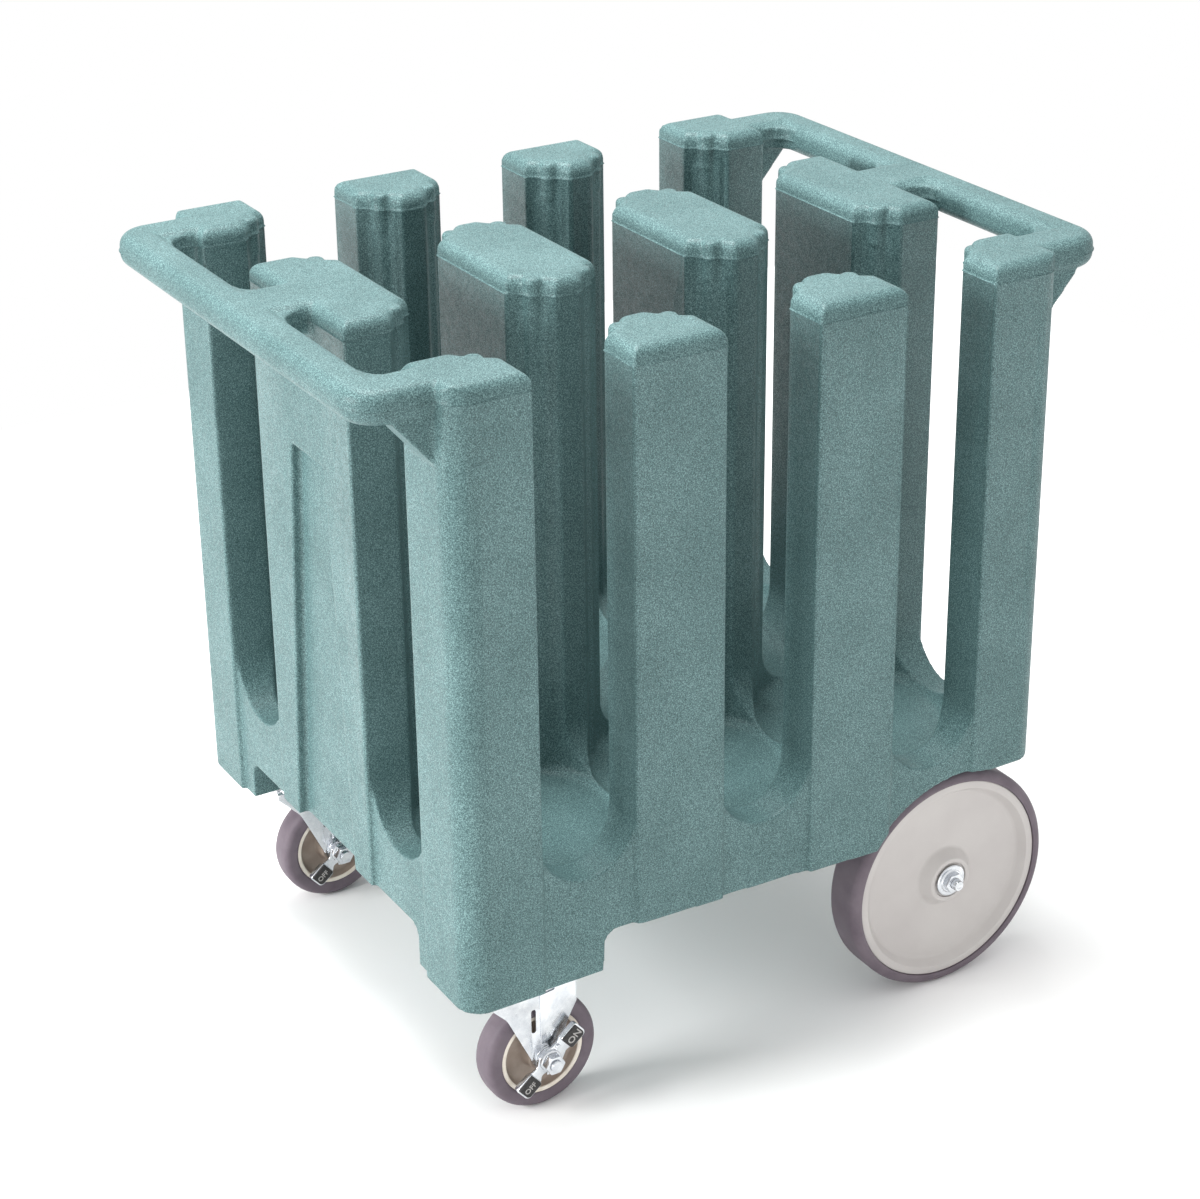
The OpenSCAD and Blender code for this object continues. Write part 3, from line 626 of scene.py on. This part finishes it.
def nut(name, across, low, high, bore):
    """A hexagon nut along Z with chamfered corners, its faces across apart."""
    corner = across / math.sqrt(3)
    turns = [math.radians(60 * i) for i in range(6)]
    body = slab(name, [(corner * math.cos(turn), corner * math.sin(turn)) for turn in turns], low, high)
    dome = (corner - across / 2) * CHAMFER_SHARE
    cone = lathe("chamfer", [(0, low - OVER), (corner + OVER, low - OVER), (corner + OVER, high - dome),
                             (across / 2 * CHAMFER_TOP_SHARE, high), (0, high)], closed=False)
    modified(body, "BOOLEAN", operation="INTERSECT", solver="EXACT", object=cone)
    bpy.data.objects.remove(cone)
    cut(body, lathe("bore", [(0, low - OVER), (bore, low - OVER), (bore, high + OVER), (0, high + OVER)],
                    closed=False))
    modified(body, "BEVEL", width=NUT_EDGE, segments=1, limit_method="ANGLE", angle_limit=math.radians(35))
    only(body)
    bpy.ops.object.shade_smooth_by_angle(angle=math.radians(30))
    return body


def wheel_place(side):
    """The place of a large wheel: its +Z points away from the cart."""
    middle, _ = middle_and_size(f"{side}_wheel_tyre")
    return Matrix.Translation(middle) @ Matrix.Rotation(-SIDES[side] * math.radians(90), 4, "X")


def wheel_tyre(side):
    """The grey tyre of a large wheel."""
    _, tyre = middle_and_size(f"{side}_wheel_tyre")
    _, disc = middle_and_size(f"{side}_wheel_disc")
    outer, half, rim = tyre.x / 2, tyre.y / 2, disc.x / 2
    seat = rim + TYRE_GAP
    bed = half - DISC_LIP_INSET - DISC_LIP_T + TYRE_GAP
    obj = lathe("tyre_of_wheel", both_faces([
        (rim - DISC_LIP_H, bed), (seat, bed), (seat, half - TYRE_EDGE_DROP),
        (rim + TYRE_EDGE_W, half, 0.0008), (outer, half, TYRE_SHOULDER_R)]), steps=160)
    return finished(moved(obj, wheel_place(side)), RUBBER, f"{side}_wheel", "tyre", f"{side}_wheel_tyre")


def wheel_disc(side):
    """The off-white disc of a large wheel, with its dished web and its boss."""
    _, tyre = middle_and_size(f"{side}_wheel_tyre")
    _, disc = middle_and_size(f"{side}_wheel_disc")
    _, bush = middle_and_size(f"{side}_wheel_bearing")
    rim, boss, bore = disc.x / 2, disc.y / 2, bush.x / 2
    lip = tyre.y / 2 - DISC_LIP_INSET
    bed = lip - DISC_LIP_T
    bed_r = rim - DISC_LIP_H
    web = lip - WEB_DEPTH
    back = web - WEB_T
    recess = boss - RECESS_DEPTH
    # Round the lip and the bed of the tyre to the back, along the back to the bore, and out again in front
    obj = lathe("disc_of_wheel", [
        (rim, lip, 0.0012), (rim, bed), (bed_r, bed), (bed_r, -bed), (rim, -bed), (rim, -lip, 0.0012),
        (rim - BACK_SLOPE_HEAD, -lip, 0.002), (rim - BACK_SLOPE_FOOT, back, 0.006),
        (BOSS_BACK_FOOT_R, back, 0.006), (BOSS_BACK_R, -boss, 0.002), (bore, -boss),
        (bore, recess), (RECESS_R, recess), (RECESS_R + RECESS_TAPER, boss, 0.0004), (BOSS_R, boss, 0.0025),
        (BOSS_FOOT_R, web, 0.005), (rim - RIM_SLOPE_FOOT, web, 0.005),
        (rim - RIM_SLOPE_SHOULDER, lip - RIM_SLOPE_DROP, 0.002), (rim - RIM_SLOPE_HEAD, lip, 0.001)],
        steps=160, smooth=30)
    return finished(moved(obj, wheel_place(side)), DISC, f"{side}_wheel", "wheel_disc", f"{side}_wheel_disc")


def axle_washer(outer, low, high):
    """A washer whose middle is domed."""
    flat = low + WASHER_FLAT_T
    edge_r = outer - WASHER_EDGE_T
    return lathe("axle_washer", [
        (WASHER_BORE, low), (outer, low), (outer, low + WASHER_EDGE_T, 0.0004), (edge_r, flat, 0.0004),
        (outer - WASHER_DOME_FOOT, flat, 0.0008), (outer - WASHER_DOME_HEAD, high, 0.0006),
        (WASHER_BORE, high, 0.0004)], steps=64)


def axle_thread(low, high):
    """A threaded axle end with a blunt tip and a centre hole."""
    profile = [(0, low - OVER), (THREAD_CORE_R, low - OVER)]
    pitch = (high - low - THREAD_RUN_OUT) / THREAD_TURNS
    for i in range(THREAD_TURNS):
        z = low + i * pitch
        profile += [(THREAD_ROOT_R, z + 0.1 * pitch), (THREAD_CREST_R, z + 0.5 * pitch),
                    (THREAD_ROOT_R, z + 0.9 * pitch)]
    tip, floor_z = high + TIP_L, high + CENTRE_FLOOR_L
    profile += [(0.0060, high - TIP_CHAMFER), (TIP_R, tip), (CENTRE_R, tip), (CENTRE_FLOOR_R, floor_z),
                (0, floor_z)]
    return lathe("axle_thread", profile, closed=False, steps=64)


def wheel_fastenings():
    """The washers, nuts and threaded axle ends in the bosses of both large wheels."""
    washers, nuts, threads = [], [], []
    axle_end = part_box("wheel_axle")[1].y
    nut_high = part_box("axle_nuts")[1].y
    nut_low = nut_high - AXLE_NUT_T
    washer_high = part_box("axle_washers")[1].y
    _, washer = middle_and_size("axle_washers")
    for side, way in SIDES.items():
        middle, _ = middle_and_size(f"{side}_wheel_tyre")
        turn = Matrix.Rotation(-way * math.radians(90), 4, "X")
        place = Matrix.Translation((middle.x, 0, middle.z)) @ turn
        washers.append(moved(axle_washer(washer.x / 2, washer_high - WASHER_T, washer_high), place))
        nuts.append(moved(nut("axle_nut", AXLE_NUT_AF, nut_low, nut_high, AXLE_NUT_BORE), place))
        threads.append(moved(axle_thread(nut_high, axle_end), place))
    finished(joined(*washers), ZINC, "cart", "zinc", "axle_washers")
    finished(joined(*nuts), ZINC, "cart", "zinc", "axle_nuts")
    finished(joined(*threads), ZINC, "cart", "zinc")


for side in SIDES:
    wheel_tyre(side)
    wheel_disc(side)
wheel_fastenings()


# Casters

# The lip of a caster's hub: how far it lies inside the tyre's face, its thickness and its width
HUB_LIP_INSET = 0.001
HUB_LIP_T = 0.0015
HUB_LIP_W = 0.0046
HUB_LIP_GROOVE = 0.0004
# The web and the boss of a caster's hub
HUB_SLOPE_FOOT = 0.0078
HUB_WEB_RIM_HALF = 0.0055
HUB_WEB_HALF = 0.0045
HUB_BOSS_FOOT_R = 0.0205
HUB_BOSS_R = 0.0172
# The tyre of a caster: the roundings of its tread and the gap to its hub
CASTER_TREAD_DROP = 0.0015
CASTER_TREAD_R = 0.010
CASTER_SHOULDER_R = 0.0075
CASTER_TYRE_GAP = 0.0002
# The pressed sheet of a fork: its thickness, its outer bend and its crown's depth below the race
SHEET_T = 0.003
SHEET_BEND_R = 0.006
CROWN_DROP = 0.0045
CROWN_T = 0.004
# A cheek's waist behind the swivel axis, its neck and shoulder in front, and its end round the axle
WAIST = (-0.011, 0.120)
NECK = (0.057, 0.095)
SHOULDER_Z = 0.117
END_SIDE_SHARE = 0.97
END_FOOT_SHARE = 0.62
END_DROP_SHARE = 0.80
END_ROUND_SHARE = 0.7
# The slot in a cheek: its sides, its ends and its rounding
CHEEK_SLOT_X = (0.0165, 0.0215)
CHEEK_SLOT_Z = (0.0955, 0.1225)
CHEEK_SLOT_R = 0.0025
# How far a brake's mounting plate is sunk in its cheek, and stands proud of it
BRAKE_PLATE_SUNK = 0.001
BRAKE_PLATE_PROUD = 0.0014
# The crown and the lower race about the swivel axis
CROWN_BORE = 0.0075
CROWN_R = 0.037
RACE_FOOT_R = 0.034
RACE_R = 0.0335
RACE_BORE = 0.0165
# The seal between the races
SEAL_INNER_R = 0.0285
SEAL_OUTER_R = 0.0312
SEAL_BULGE = 0.0006
SEAL_OVERLAP = 0.001
# The rise of both brake levers from the level
LEVER_LEAN = math.radians(40)
# A lever: its half length and half width, and where its sheet lies outside the caster's nut side
LEVER_HALF_L = 0.045
LEVER_HALF_W = 0.010
LEVER_LOW = 0.002
LEVER_HIGH = 0.006
LEVER_HUB_R = 0.012
LEVER_HUB_BORE = 0.0062
STUD_R = 0.0026
STUD_PLACE = (0.0155, 0.0045, 0)
STUD_PROUD = 0.0016
# A lever's trays: their inner ends, their rims' height and width, and the pads' height
TRAY_INNER = 0.0225
TRAY_RIM_H = 0.0025
TRAY_RIM_W = 0.0017
PAD_H = 0.0044
# The words on the pads, with the height of their letters
WORDS = ((1, "ON", 0.0080), (-1, "OFF", 0.0062))
FONT_SIZE_SHARE = 1.35
STROKE_SHARE = 0.02
LETTER_LOW = 0.0040
LETTER_HIGH = 0.0048
# The fastenings of a caster's axle, and the tab of the brake's cam
CASTER_NUT_AF = 0.019
CASTER_NUT_BORE = 0.0061
BOLT_R = 0.0066
BOLT_CORE_R = 0.0058
BOLT_TIP_R = 0.0056
BOLT_DIMPLE_R = 0.0035
CAM_BORE = 0.0062
CAM_TAB_RISE = 0.006


def axle_place(side):
    """The place of a caster's axle: local +Y is up, and +Z points to the brake."""
    middle, _ = middle_and_size(f"{side}_caster_tyre")
    return Matrix.Translation(middle) @ Matrix.Rotation(math.radians(90), 4, "X")


def swivel_place(side):
    """The place of a caster's swivel axis, on the floor."""
    low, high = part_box(f"{side}_caster_kingpin")
    return Matrix.Translation(((low.x + high.x) / 2, (low.y + high.y) / 2, 0))


def caster_tyre(side):
    """The grey tyre of a caster."""
    _, tyre = middle_and_size(f"{side}_caster_tyre")
    _, hub = middle_and_size(f"{side}_caster_hub")
    outer, half, rim = tyre.x / 2, tyre.y / 2, hub.x / 2
    bed = half - HUB_LIP_INSET - HUB_LIP_T
    seat = rim + CASTER_TYRE_GAP
    obj = lathe("tyre_of_caster", both_faces([
        (rim - 0.004, bed), (seat, bed), (seat, half - 0.0008), (rim + 0.0022, half, 0.0008),
        (outer - CASTER_TREAD_DROP, half, CASTER_SHOULDER_R),
        (outer, half - CASTER_TREAD_R, CASTER_TREAD_R)]), steps=128)
    wheel = f"{side}_caster_wheel"
    return finished(moved(obj, axle_place(side)), RUBBER, wheel, "tyre", f"{side}_caster_tyre")


def caster_hub(side):
    """The beige hub of a caster, with a pale lip ring on each face."""
    _, tyre = middle_and_size(f"{side}_caster_tyre")
    _, hub = middle_and_size(f"{side}_caster_hub")
    _, bush = middle_and_size(f"{side}_caster_bearing")
    rim, boss_half, bore = hub.x / 2, hub.y / 2, bush.x / 2
    lip = tyre.y / 2 - HUB_LIP_INSET
    bed = lip - HUB_LIP_T
    hub_obj = lathe("hub_of_caster", both_faces([
        (rim - 0.0038, bed), (rim - 0.0045, bed), (rim - HUB_SLOPE_FOOT, HUB_WEB_RIM_HALF, 0.004),
        (HUB_BOSS_FOOT_R, HUB_WEB_HALF, 0.002), (HUB_BOSS_R, boss_half, 0.0012), (bore, boss_half)]),
        steps=128, smooth=30)
    rings = []
    for way in (-1, 1):
        inner = rim - HUB_LIP_W
        rings.append(lathe("hub_lip", [
            (rim, way * lip, 0.0006), (rim, way * bed), (inner, way * bed),
            (inner, way * (lip - HUB_LIP_GROOVE), 0.0008), (rim - 0.0030, way * lip, 0.0006)], steps=128))
    place = axle_place(side)
    wheel = f"{side}_caster_wheel"
    finished(moved(hub_obj, place), HUB, wheel, "caster_hub", f"{side}_caster_hub")
    finished(moved(joined(*rings), place), HUB_LIP, wheel, "caster_hub")


def fork_channel(half, top, back, front):
    """The bent sheet of a fork seen along X, from back to front."""
    inner, under, bend = half - SHEET_T, top - CROWN_T, SHEET_BEND_R - SHEET_T
    section = [(-half, 0), (-half, top, SHEET_BEND_R), (half, top, SHEET_BEND_R), (half, 0),
               (inner, 0), (inner, under, bend), (-inner, under, bend), (-inner, 0)]
    channel = slab("fork", section, back - OVER, front + OVER)
    return moved(channel, Matrix(((0, 0, 1, 0), (1, 0, 0, 0), (0, 1, 0, 0), (0, 0, 0, 1))))


def across(obj):
    """Turns a slab of (x, z) corners upright, so that it lies across the fork."""
    return moved(obj, Matrix.Rotation(math.radians(90), 4, "X"))


def cheek_outline(back, front, top, trail, axle_z, end_r):
    """The V-shaped outline of a cheek about the swivel axis, with its end round the axle."""
    side, foot = end_r * END_SIDE_SHARE, end_r * END_FOOT_SHARE
    foot_z, foot_round = axle_z - end_r * END_DROP_SHARE, end_r * END_ROUND_SHARE
    return [(back, top + OVER), (back, top - 0.010, 0.003), (*WAIST, 0.03), (trail - side, axle_z, 0.04),
            (trail - foot, foot_z, foot_round), (trail + foot, foot_z, foot_round),
            (trail + side, axle_z, 0.04), (*NECK, 0.02), (front, SHOULDER_Z, 0.004), (front, top + OVER)]


def fork_shape():
    """One pressed fork about its swivel axis. Its cheeks are V-shaped and bend into the crown."""
    low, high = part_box("front_caster_fork")
    pin, _ = middle_and_size("front_caster_kingpin")
    tyre, _ = middle_and_size("front_caster_tyre")
    half = tyre.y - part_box("front_caster_cam")[1].y
    back, front = low.x - pin.x, high.x - pin.x
    race_top = high.z
    top = race_top - CROWN_DROP
    under = top - CROWN_T
    channel = fork_channel(half, top, back, front)
    cheek = across(slab("cheek", cheek_outline(back, front, top, tyre.x - pin.x, tyre.z, tyre.z - low.z),
                        -half - OVER, half + OVER))
    modified(channel, "BOOLEAN", operation="INTERSECT", solver="EXACT", object=cheek)
    bpy.data.objects.remove(cheek)
    corners = ((0, 0), (1, 0), (1, 1), (0, 1))
    slot_corners = [(CHEEK_SLOT_X[i], CHEEK_SLOT_Z[k], CHEEK_SLOT_R) for i, k in corners]
    cut(channel, across(slab("slot", slot_corners, -half - OVER, half + OVER)))
    modified(channel, "BEVEL", width=0.0006, segments=2, limit_method="ANGLE", angle_limit=math.radians(50))
    only(channel)
    bpy.ops.object.shade_smooth_by_angle(angle=math.radians(35))
    # The brake's mounting plate, pressed proud of both cheeks ahead of the axle
    plate_corners = [
        (0.026, 0.078, 0.001), (0.026, 0.138, 0.001), (0.043, 0.140, 0.001), (0.0445, 0.147, 0.001),
        (front - 0.002, 0.149, 0.001), (front - 0.0015, 0.1175, 0.002), (0.056, 0.0955, 0.008),
        (0.046, 0.074, 0.002)]
    sunk, proud = half - BRAKE_PLATE_SUNK, half + BRAKE_PLATE_PROUD
    plates = [across(slab("brake_plate", plate_corners, *level, edge=0.0006))
              for level in ((sunk, proud), (-proud, -sunk))]
    crown = lathe("crown", [
        (CROWN_BORE, under), (CROWN_R, under, 0.001), (CROWN_R, top, 0.0015), (RACE_FOOT_R, top),
        (RACE_R, race_top, 0.0015), (RACE_BORE + 0.001, race_top, 0.001), (RACE_BORE, top),
        (CROWN_BORE, top)])
    return joined(channel, crown, *plates)


def raceway():
    """The dark seal between the two races of a swivel, about the swivel axis."""
    low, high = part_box("front_caster_balls")
    foot, head = low.z - SEAL_OVERLAP, high.z + SEAL_OVERLAP
    return lathe("swivel_seal", [
        (SEAL_INNER_R, foot), (SEAL_OUTER_R, foot), (SEAL_OUTER_R + SEAL_BULGE, (low.z + high.z) / 2),
        (SEAL_OUTER_R, head), (SEAL_INNER_R, head)])


def letters(text, along, height, low, high):
    """Raised letters that read along +X, centred on (along, 0)."""
    bpy.ops.object.text_add(location=(0, 0, 0))
    obj = bpy.context.view_layer.objects.active
    obj.name = "pad_letters"
    obj.data.body = text
    obj.data.size = height * FONT_SIZE_SHARE
    obj.data.align_x = "CENTER"
    obj.data.align_y = "CENTER"
    obj.data.extrude = (high - low) / 2
    obj.data.offset = height * STROKE_SHARE
    obj.data.resolution_u = 3
    bpy.ops.object.convert(target="MESH")
    obj = bpy.context.view_layer.objects.active
    return moved(obj, Matrix.Translation((along, 0, (low + high) / 2)))


def lever_outline():
    """The lever's outline about the caster's axle: two wide ends, narrow necks and a middle."""
    end, wide = LEVER_HALF_L, LEVER_HALF_W
    return [
        (end, -wide, 0.006), (end, wide, 0.003), (0.023, wide, 0.002), (0.019, 0.0075, 0.004),
        (0.011, 0.0085, 0.004), (0.006, 0.0115, 0.006), (-0.006, 0.0115, 0.006), (-0.014, 0.0055, 0.005),
        (-0.022, 0.0065, 0.004), (-0.025, wide, 0.003), (-end, wide, 0.003), (-end, -wide, 0.007),
        (-0.022, -wide, 0.004), (-0.017, -0.0055, 0.005), (-0.009, -0.0095, 0.005), (0, -0.0125, 0.006),
        (0.009, -0.0125, 0.004), (0.018, -0.0085, 0.005), (0.023, -wide, 0.003)]


def brake_shapes():
    """One brake about the caster's axle: the lever with its two trays, the pads, and their letters."""
    lever_low, lever_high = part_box("front_caster_brake_lever")
    tyre, _ = middle_and_size("front_caster_tyre")
    near, far = tyre.y - lever_high.y, tyre.y - lever_low.y
    low, high = near + LEVER_LOW, near + LEVER_HIGH
    end, wide = LEVER_HALF_L, LEVER_HALF_W
    lever = slab("brake_lever", lever_outline(), low, high - 0.0010, edge=0.0008)
    hub = lathe("lever_hub", [
        (LEVER_HUB_BORE, near), (LEVER_HUB_R, near), (LEVER_HUB_R, far - 0.001),
        (LEVER_HUB_R - 0.001, far, 0.0006), (LEVER_HUB_BORE, far)], steps=64)
    stud_high = high + STUD_PROUD
    stud = lathe("lever_stud", [(0, low), (STUD_R, low), (STUD_R, stud_high, 0.0006), (0, stud_high)],
                 closed=False, steps=32)
    moved(stud, Matrix.Translation(STUD_PLACE))
    rim_high = high + TRAY_RIM_H
    rims, pads, marks = [], [], []
    for way, word, letter_h in WORDS:
        tray = [(way * end, -wide, 0.0055), (way * end, wide, 0.003), (way * TRAY_INNER, wide, 0.003),
                (way * TRAY_INNER, -wide, 0.004)]
        rim = slab("pad_rim", tray, low + 0.001, rim_high, edge=0.0006)
        well_end, well_inner = way * (end - TRAY_RIM_W), way * (TRAY_INNER + TRAY_RIM_W * 0.2)
        well_foot, well_head = TRAY_RIM_W - wide, wide - TRAY_RIM_W * 0.4
        well = [(well_end, well_foot, 0.0042), (well_end, well_head, 0.002), (well_inner, well_head, 0.002),
                (well_inner, well_foot, 0.003)]
        cut(rim, slab("tray", well, high, rim_high + OVER))
        only(rim)
        bpy.ops.object.shade_smooth_by_angle(angle=math.radians(35))
        rims.append(rim)
        pads.append(slab("brake_pad", well, high - 0.0005, high + PAD_H, edge=0.0012, segments=3))
        middle = way * (end + TRAY_INNER) / 2
        marks.append(letters(word, middle, letter_h, high + LETTER_LOW, high + LETTER_HIGH))
    lever = joined(lever, hub, stud, *rims)
    lean = Matrix.Rotation(LEVER_LEAN, 4, "Z")
    return moved(lever, lean), moved(joined(*pads), lean), moved(joined(*marks), lean)


def caster_shapes():
    """The pieces of one caster: those about the swivel axis, then those about its axle."""
    bolt_low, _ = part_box("front_caster_axle_bolt")
    nut_low, nut_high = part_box("front_caster_axle_nut")
    cam_low, cam_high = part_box("front_caster_cam")
    middle, _ = middle_and_size("front_caster_tyre")
    near, far, tip = middle.y - nut_high.y, middle.y - nut_low.y, middle.y - bolt_low.y
    axle_nut = nut("caster_nut", CASTER_NUT_AF, near, far, CASTER_NUT_BORE)
    bolt = lathe("bolt_tip", [
        (0, near), (BOLT_CORE_R, near), (BOLT_CORE_R, far + 0.0004), (BOLT_R, far + 0.0006),
        (BOLT_R, tip - 0.0006, 0.0004), (BOLT_TIP_R, tip, 0.0004), (BOLT_DIMPLE_R, tip - 0.0003),
        (0, tip - 0.0001)], closed=False, steps=64)
    half = (cam_high.x - cam_low.x) / 2
    cam_near, cam_far = middle.y - cam_high.y, middle.y - cam_low.y
    cam = lathe("cam", [(CAM_BORE, cam_near), (half, cam_near), (half, cam_far, 0.0006), (CAM_BORE, cam_far)],
                steps=64)
    tab = slab("cam_tab", [(-0.004, -0.0165, 0.0008), (0.008, -0.0165, 0.0008), (0.008, -0.0135, 0.0008),
                           (0.004, -0.011), (-0.004, -0.011)], cam_near, cam_far + CAM_TAB_RISE, edge=0.0004)
    return {"fork": fork_shape(), "seal": raceway()}, {"nut": axle_nut, "tip": bolt, "cam": joined(cam, tab)}


def casters():
    """Both casters. The pieces are made once about their axes, and a copy goes to each side."""
    swivelling, turning = caster_shapes()
    lever, pads, marks = brake_shapes()
    for side in SIDES:
        about_swivel, about_axle = swivel_place(side), axle_place(side)
        fork = f"{side}_caster_fork"
        brake = f"{side}_caster_brake"
        pieces = [
            (swivelling["fork"], about_swivel, ZINC, fork, "zinc", fork),
            (swivelling["seal"], about_swivel, DARK_STEEL, fork, "zinc"),
            (turning["nut"], about_axle, ZINC, fork, "zinc", f"{side}_caster_axle_nut"),
            (turning["tip"], about_axle, ZINC, fork, "zinc"),
            (turning["cam"], about_axle, ZINC, fork, "zinc", f"{side}_caster_cam"),
            (lever, about_axle, ZINC, brake, "zinc", f"{side}_caster_brake_lever"),
            (pads, about_axle, PAD, brake, "pads", f"{side}_caster_brake_pads"),
            (marks, about_axle, LETTERS, brake, "pads"),
        ]
        for shape, place, material, body, slot, *nodes in pieces:
            finished(moved(copied(shape, f"{side}_{shape.name}"), place), material, body, slot, *nodes)
        caster_tyre(side)
        caster_hub(side)
    for shape in (*swivelling.values(), *turning.values(), lever, pads, marks):
        bpy.data.objects.remove(shape)


casters()


# The construction nodes that show as they are

NODE_FINISH = {
    "caster_inserts": DARK_STEEL, "axle_inserts": DARK_STEEL, "wheel_axle": ZINC, "axle_saddles": ZINC,
    "axle_saddle_bolts": ZINC, "axle_spacers": ZINC,
}
for side in SIDES:
    NODE_FINISH[f"{side}_wheel_bearing"] = NYLON
    NODE_FINISH[f"{side}_caster_bearing"] = NYLON
    for part in ("plate", "plate_bolts", "kingpin", "balls", "axle_bolt", "sleeve"):
        NODE_FINISH[f"{side}_caster_{part}"] = ZINC
for node, material in NODE_FINISH.items():
    for material_slot in frame["nodes"][node].material_slots:
        material_slot.material = material


# Floor, light and camera

FLOOR_SIZE = 3.6
# Each light has a place, a size in metres and a power in watts, and points at LIGHT_AIM
LIGHT_AIM = (0, 0, 0.5)
LIGHTS = {"top_light": ((-0.3, 0.5, 3.2), 1.6, 115), "left_light": ((-3.2, 0.3, 1.5), 1.2, 110)}
# The camera: its place, the turn of its view from +Y to +X, its fall, its roll, its lens and its shift
CAMERA_PLACE = (-1.3485, -2.2473, 1.6712)
CAMERA_AZIMUTH = math.radians(30.81)
CAMERA_FALL = math.radians(23.98)
CAMERA_ROLL = math.radians(-0.70)
CAMERA_LENS = 81.52
CAMERA_SENSOR = 36
CAMERA_SHIFT = -0.07


def floor():
    """A small pale floor."""
    bpy.ops.mesh.primitive_plane_add(size=FLOOR_SIZE, location=(0, 0, 0))
    plane = bpy.context.view_layer.objects.active
    plane.name = "studio_floor"
    finish = Finish("pale_floor", roughness=0.9, specular=0.1)
    finish.colour(finish.ramp(finish.noise(3, detail=2),
                              [(0.3, linear(244, 244, 243)), (0.7, linear(248, 248, 248))]))
    plane.data.materials.append(finish.material)


def area_light(name, place, size, power):
    """A soft square light."""
    bpy.ops.object.light_add(type="AREA", location=place)
    light = bpy.context.view_layer.objects.active
    light.name = name
    light.data.size = size
    light.data.energy = power
    light.rotation_euler = (Vector(LIGHT_AIM) - Vector(place)).to_track_quat("-Z", "Y").to_euler()


def studio():
    """The floor, a white room and the lights."""
    floor()
    world = bpy.data.worlds.new("pale_room")
    bpy.context.scene.world = world
    world.use_nodes = True
    background = world.node_tree.nodes["Background"]
    background.inputs["Color"].default_value = (1, 1, 1, 1)
    background.inputs["Strength"].default_value = 1.0
    for name, (place, size, power) in LIGHTS.items():
        area_light(name, place, size, power)
    bpy.context.scene.view_settings.view_transform = "Standard"


def camera():
    """The camera at the photograph's angle."""
    level = math.cos(CAMERA_FALL)
    ahead = Vector((math.sin(CAMERA_AZIMUTH) * level, math.cos(CAMERA_AZIMUTH) * level,
                    -math.sin(CAMERA_FALL)))
    bpy.ops.object.camera_add(location=CAMERA_PLACE)
    camera_object = bpy.context.view_layer.objects.active
    turn = ahead.to_track_quat("-Z", "Y").to_matrix() @ Matrix.Rotation(CAMERA_ROLL, 3, "Z")
    camera_object.rotation_euler = turn.to_euler()
    camera_object.data.lens = CAMERA_LENS
    camera_object.data.sensor_width = CAMERA_SENSOR
    camera_object.data.shift_y = CAMERA_SHIFT
    bpy.context.scene.camera = camera_object


studio()
camera()
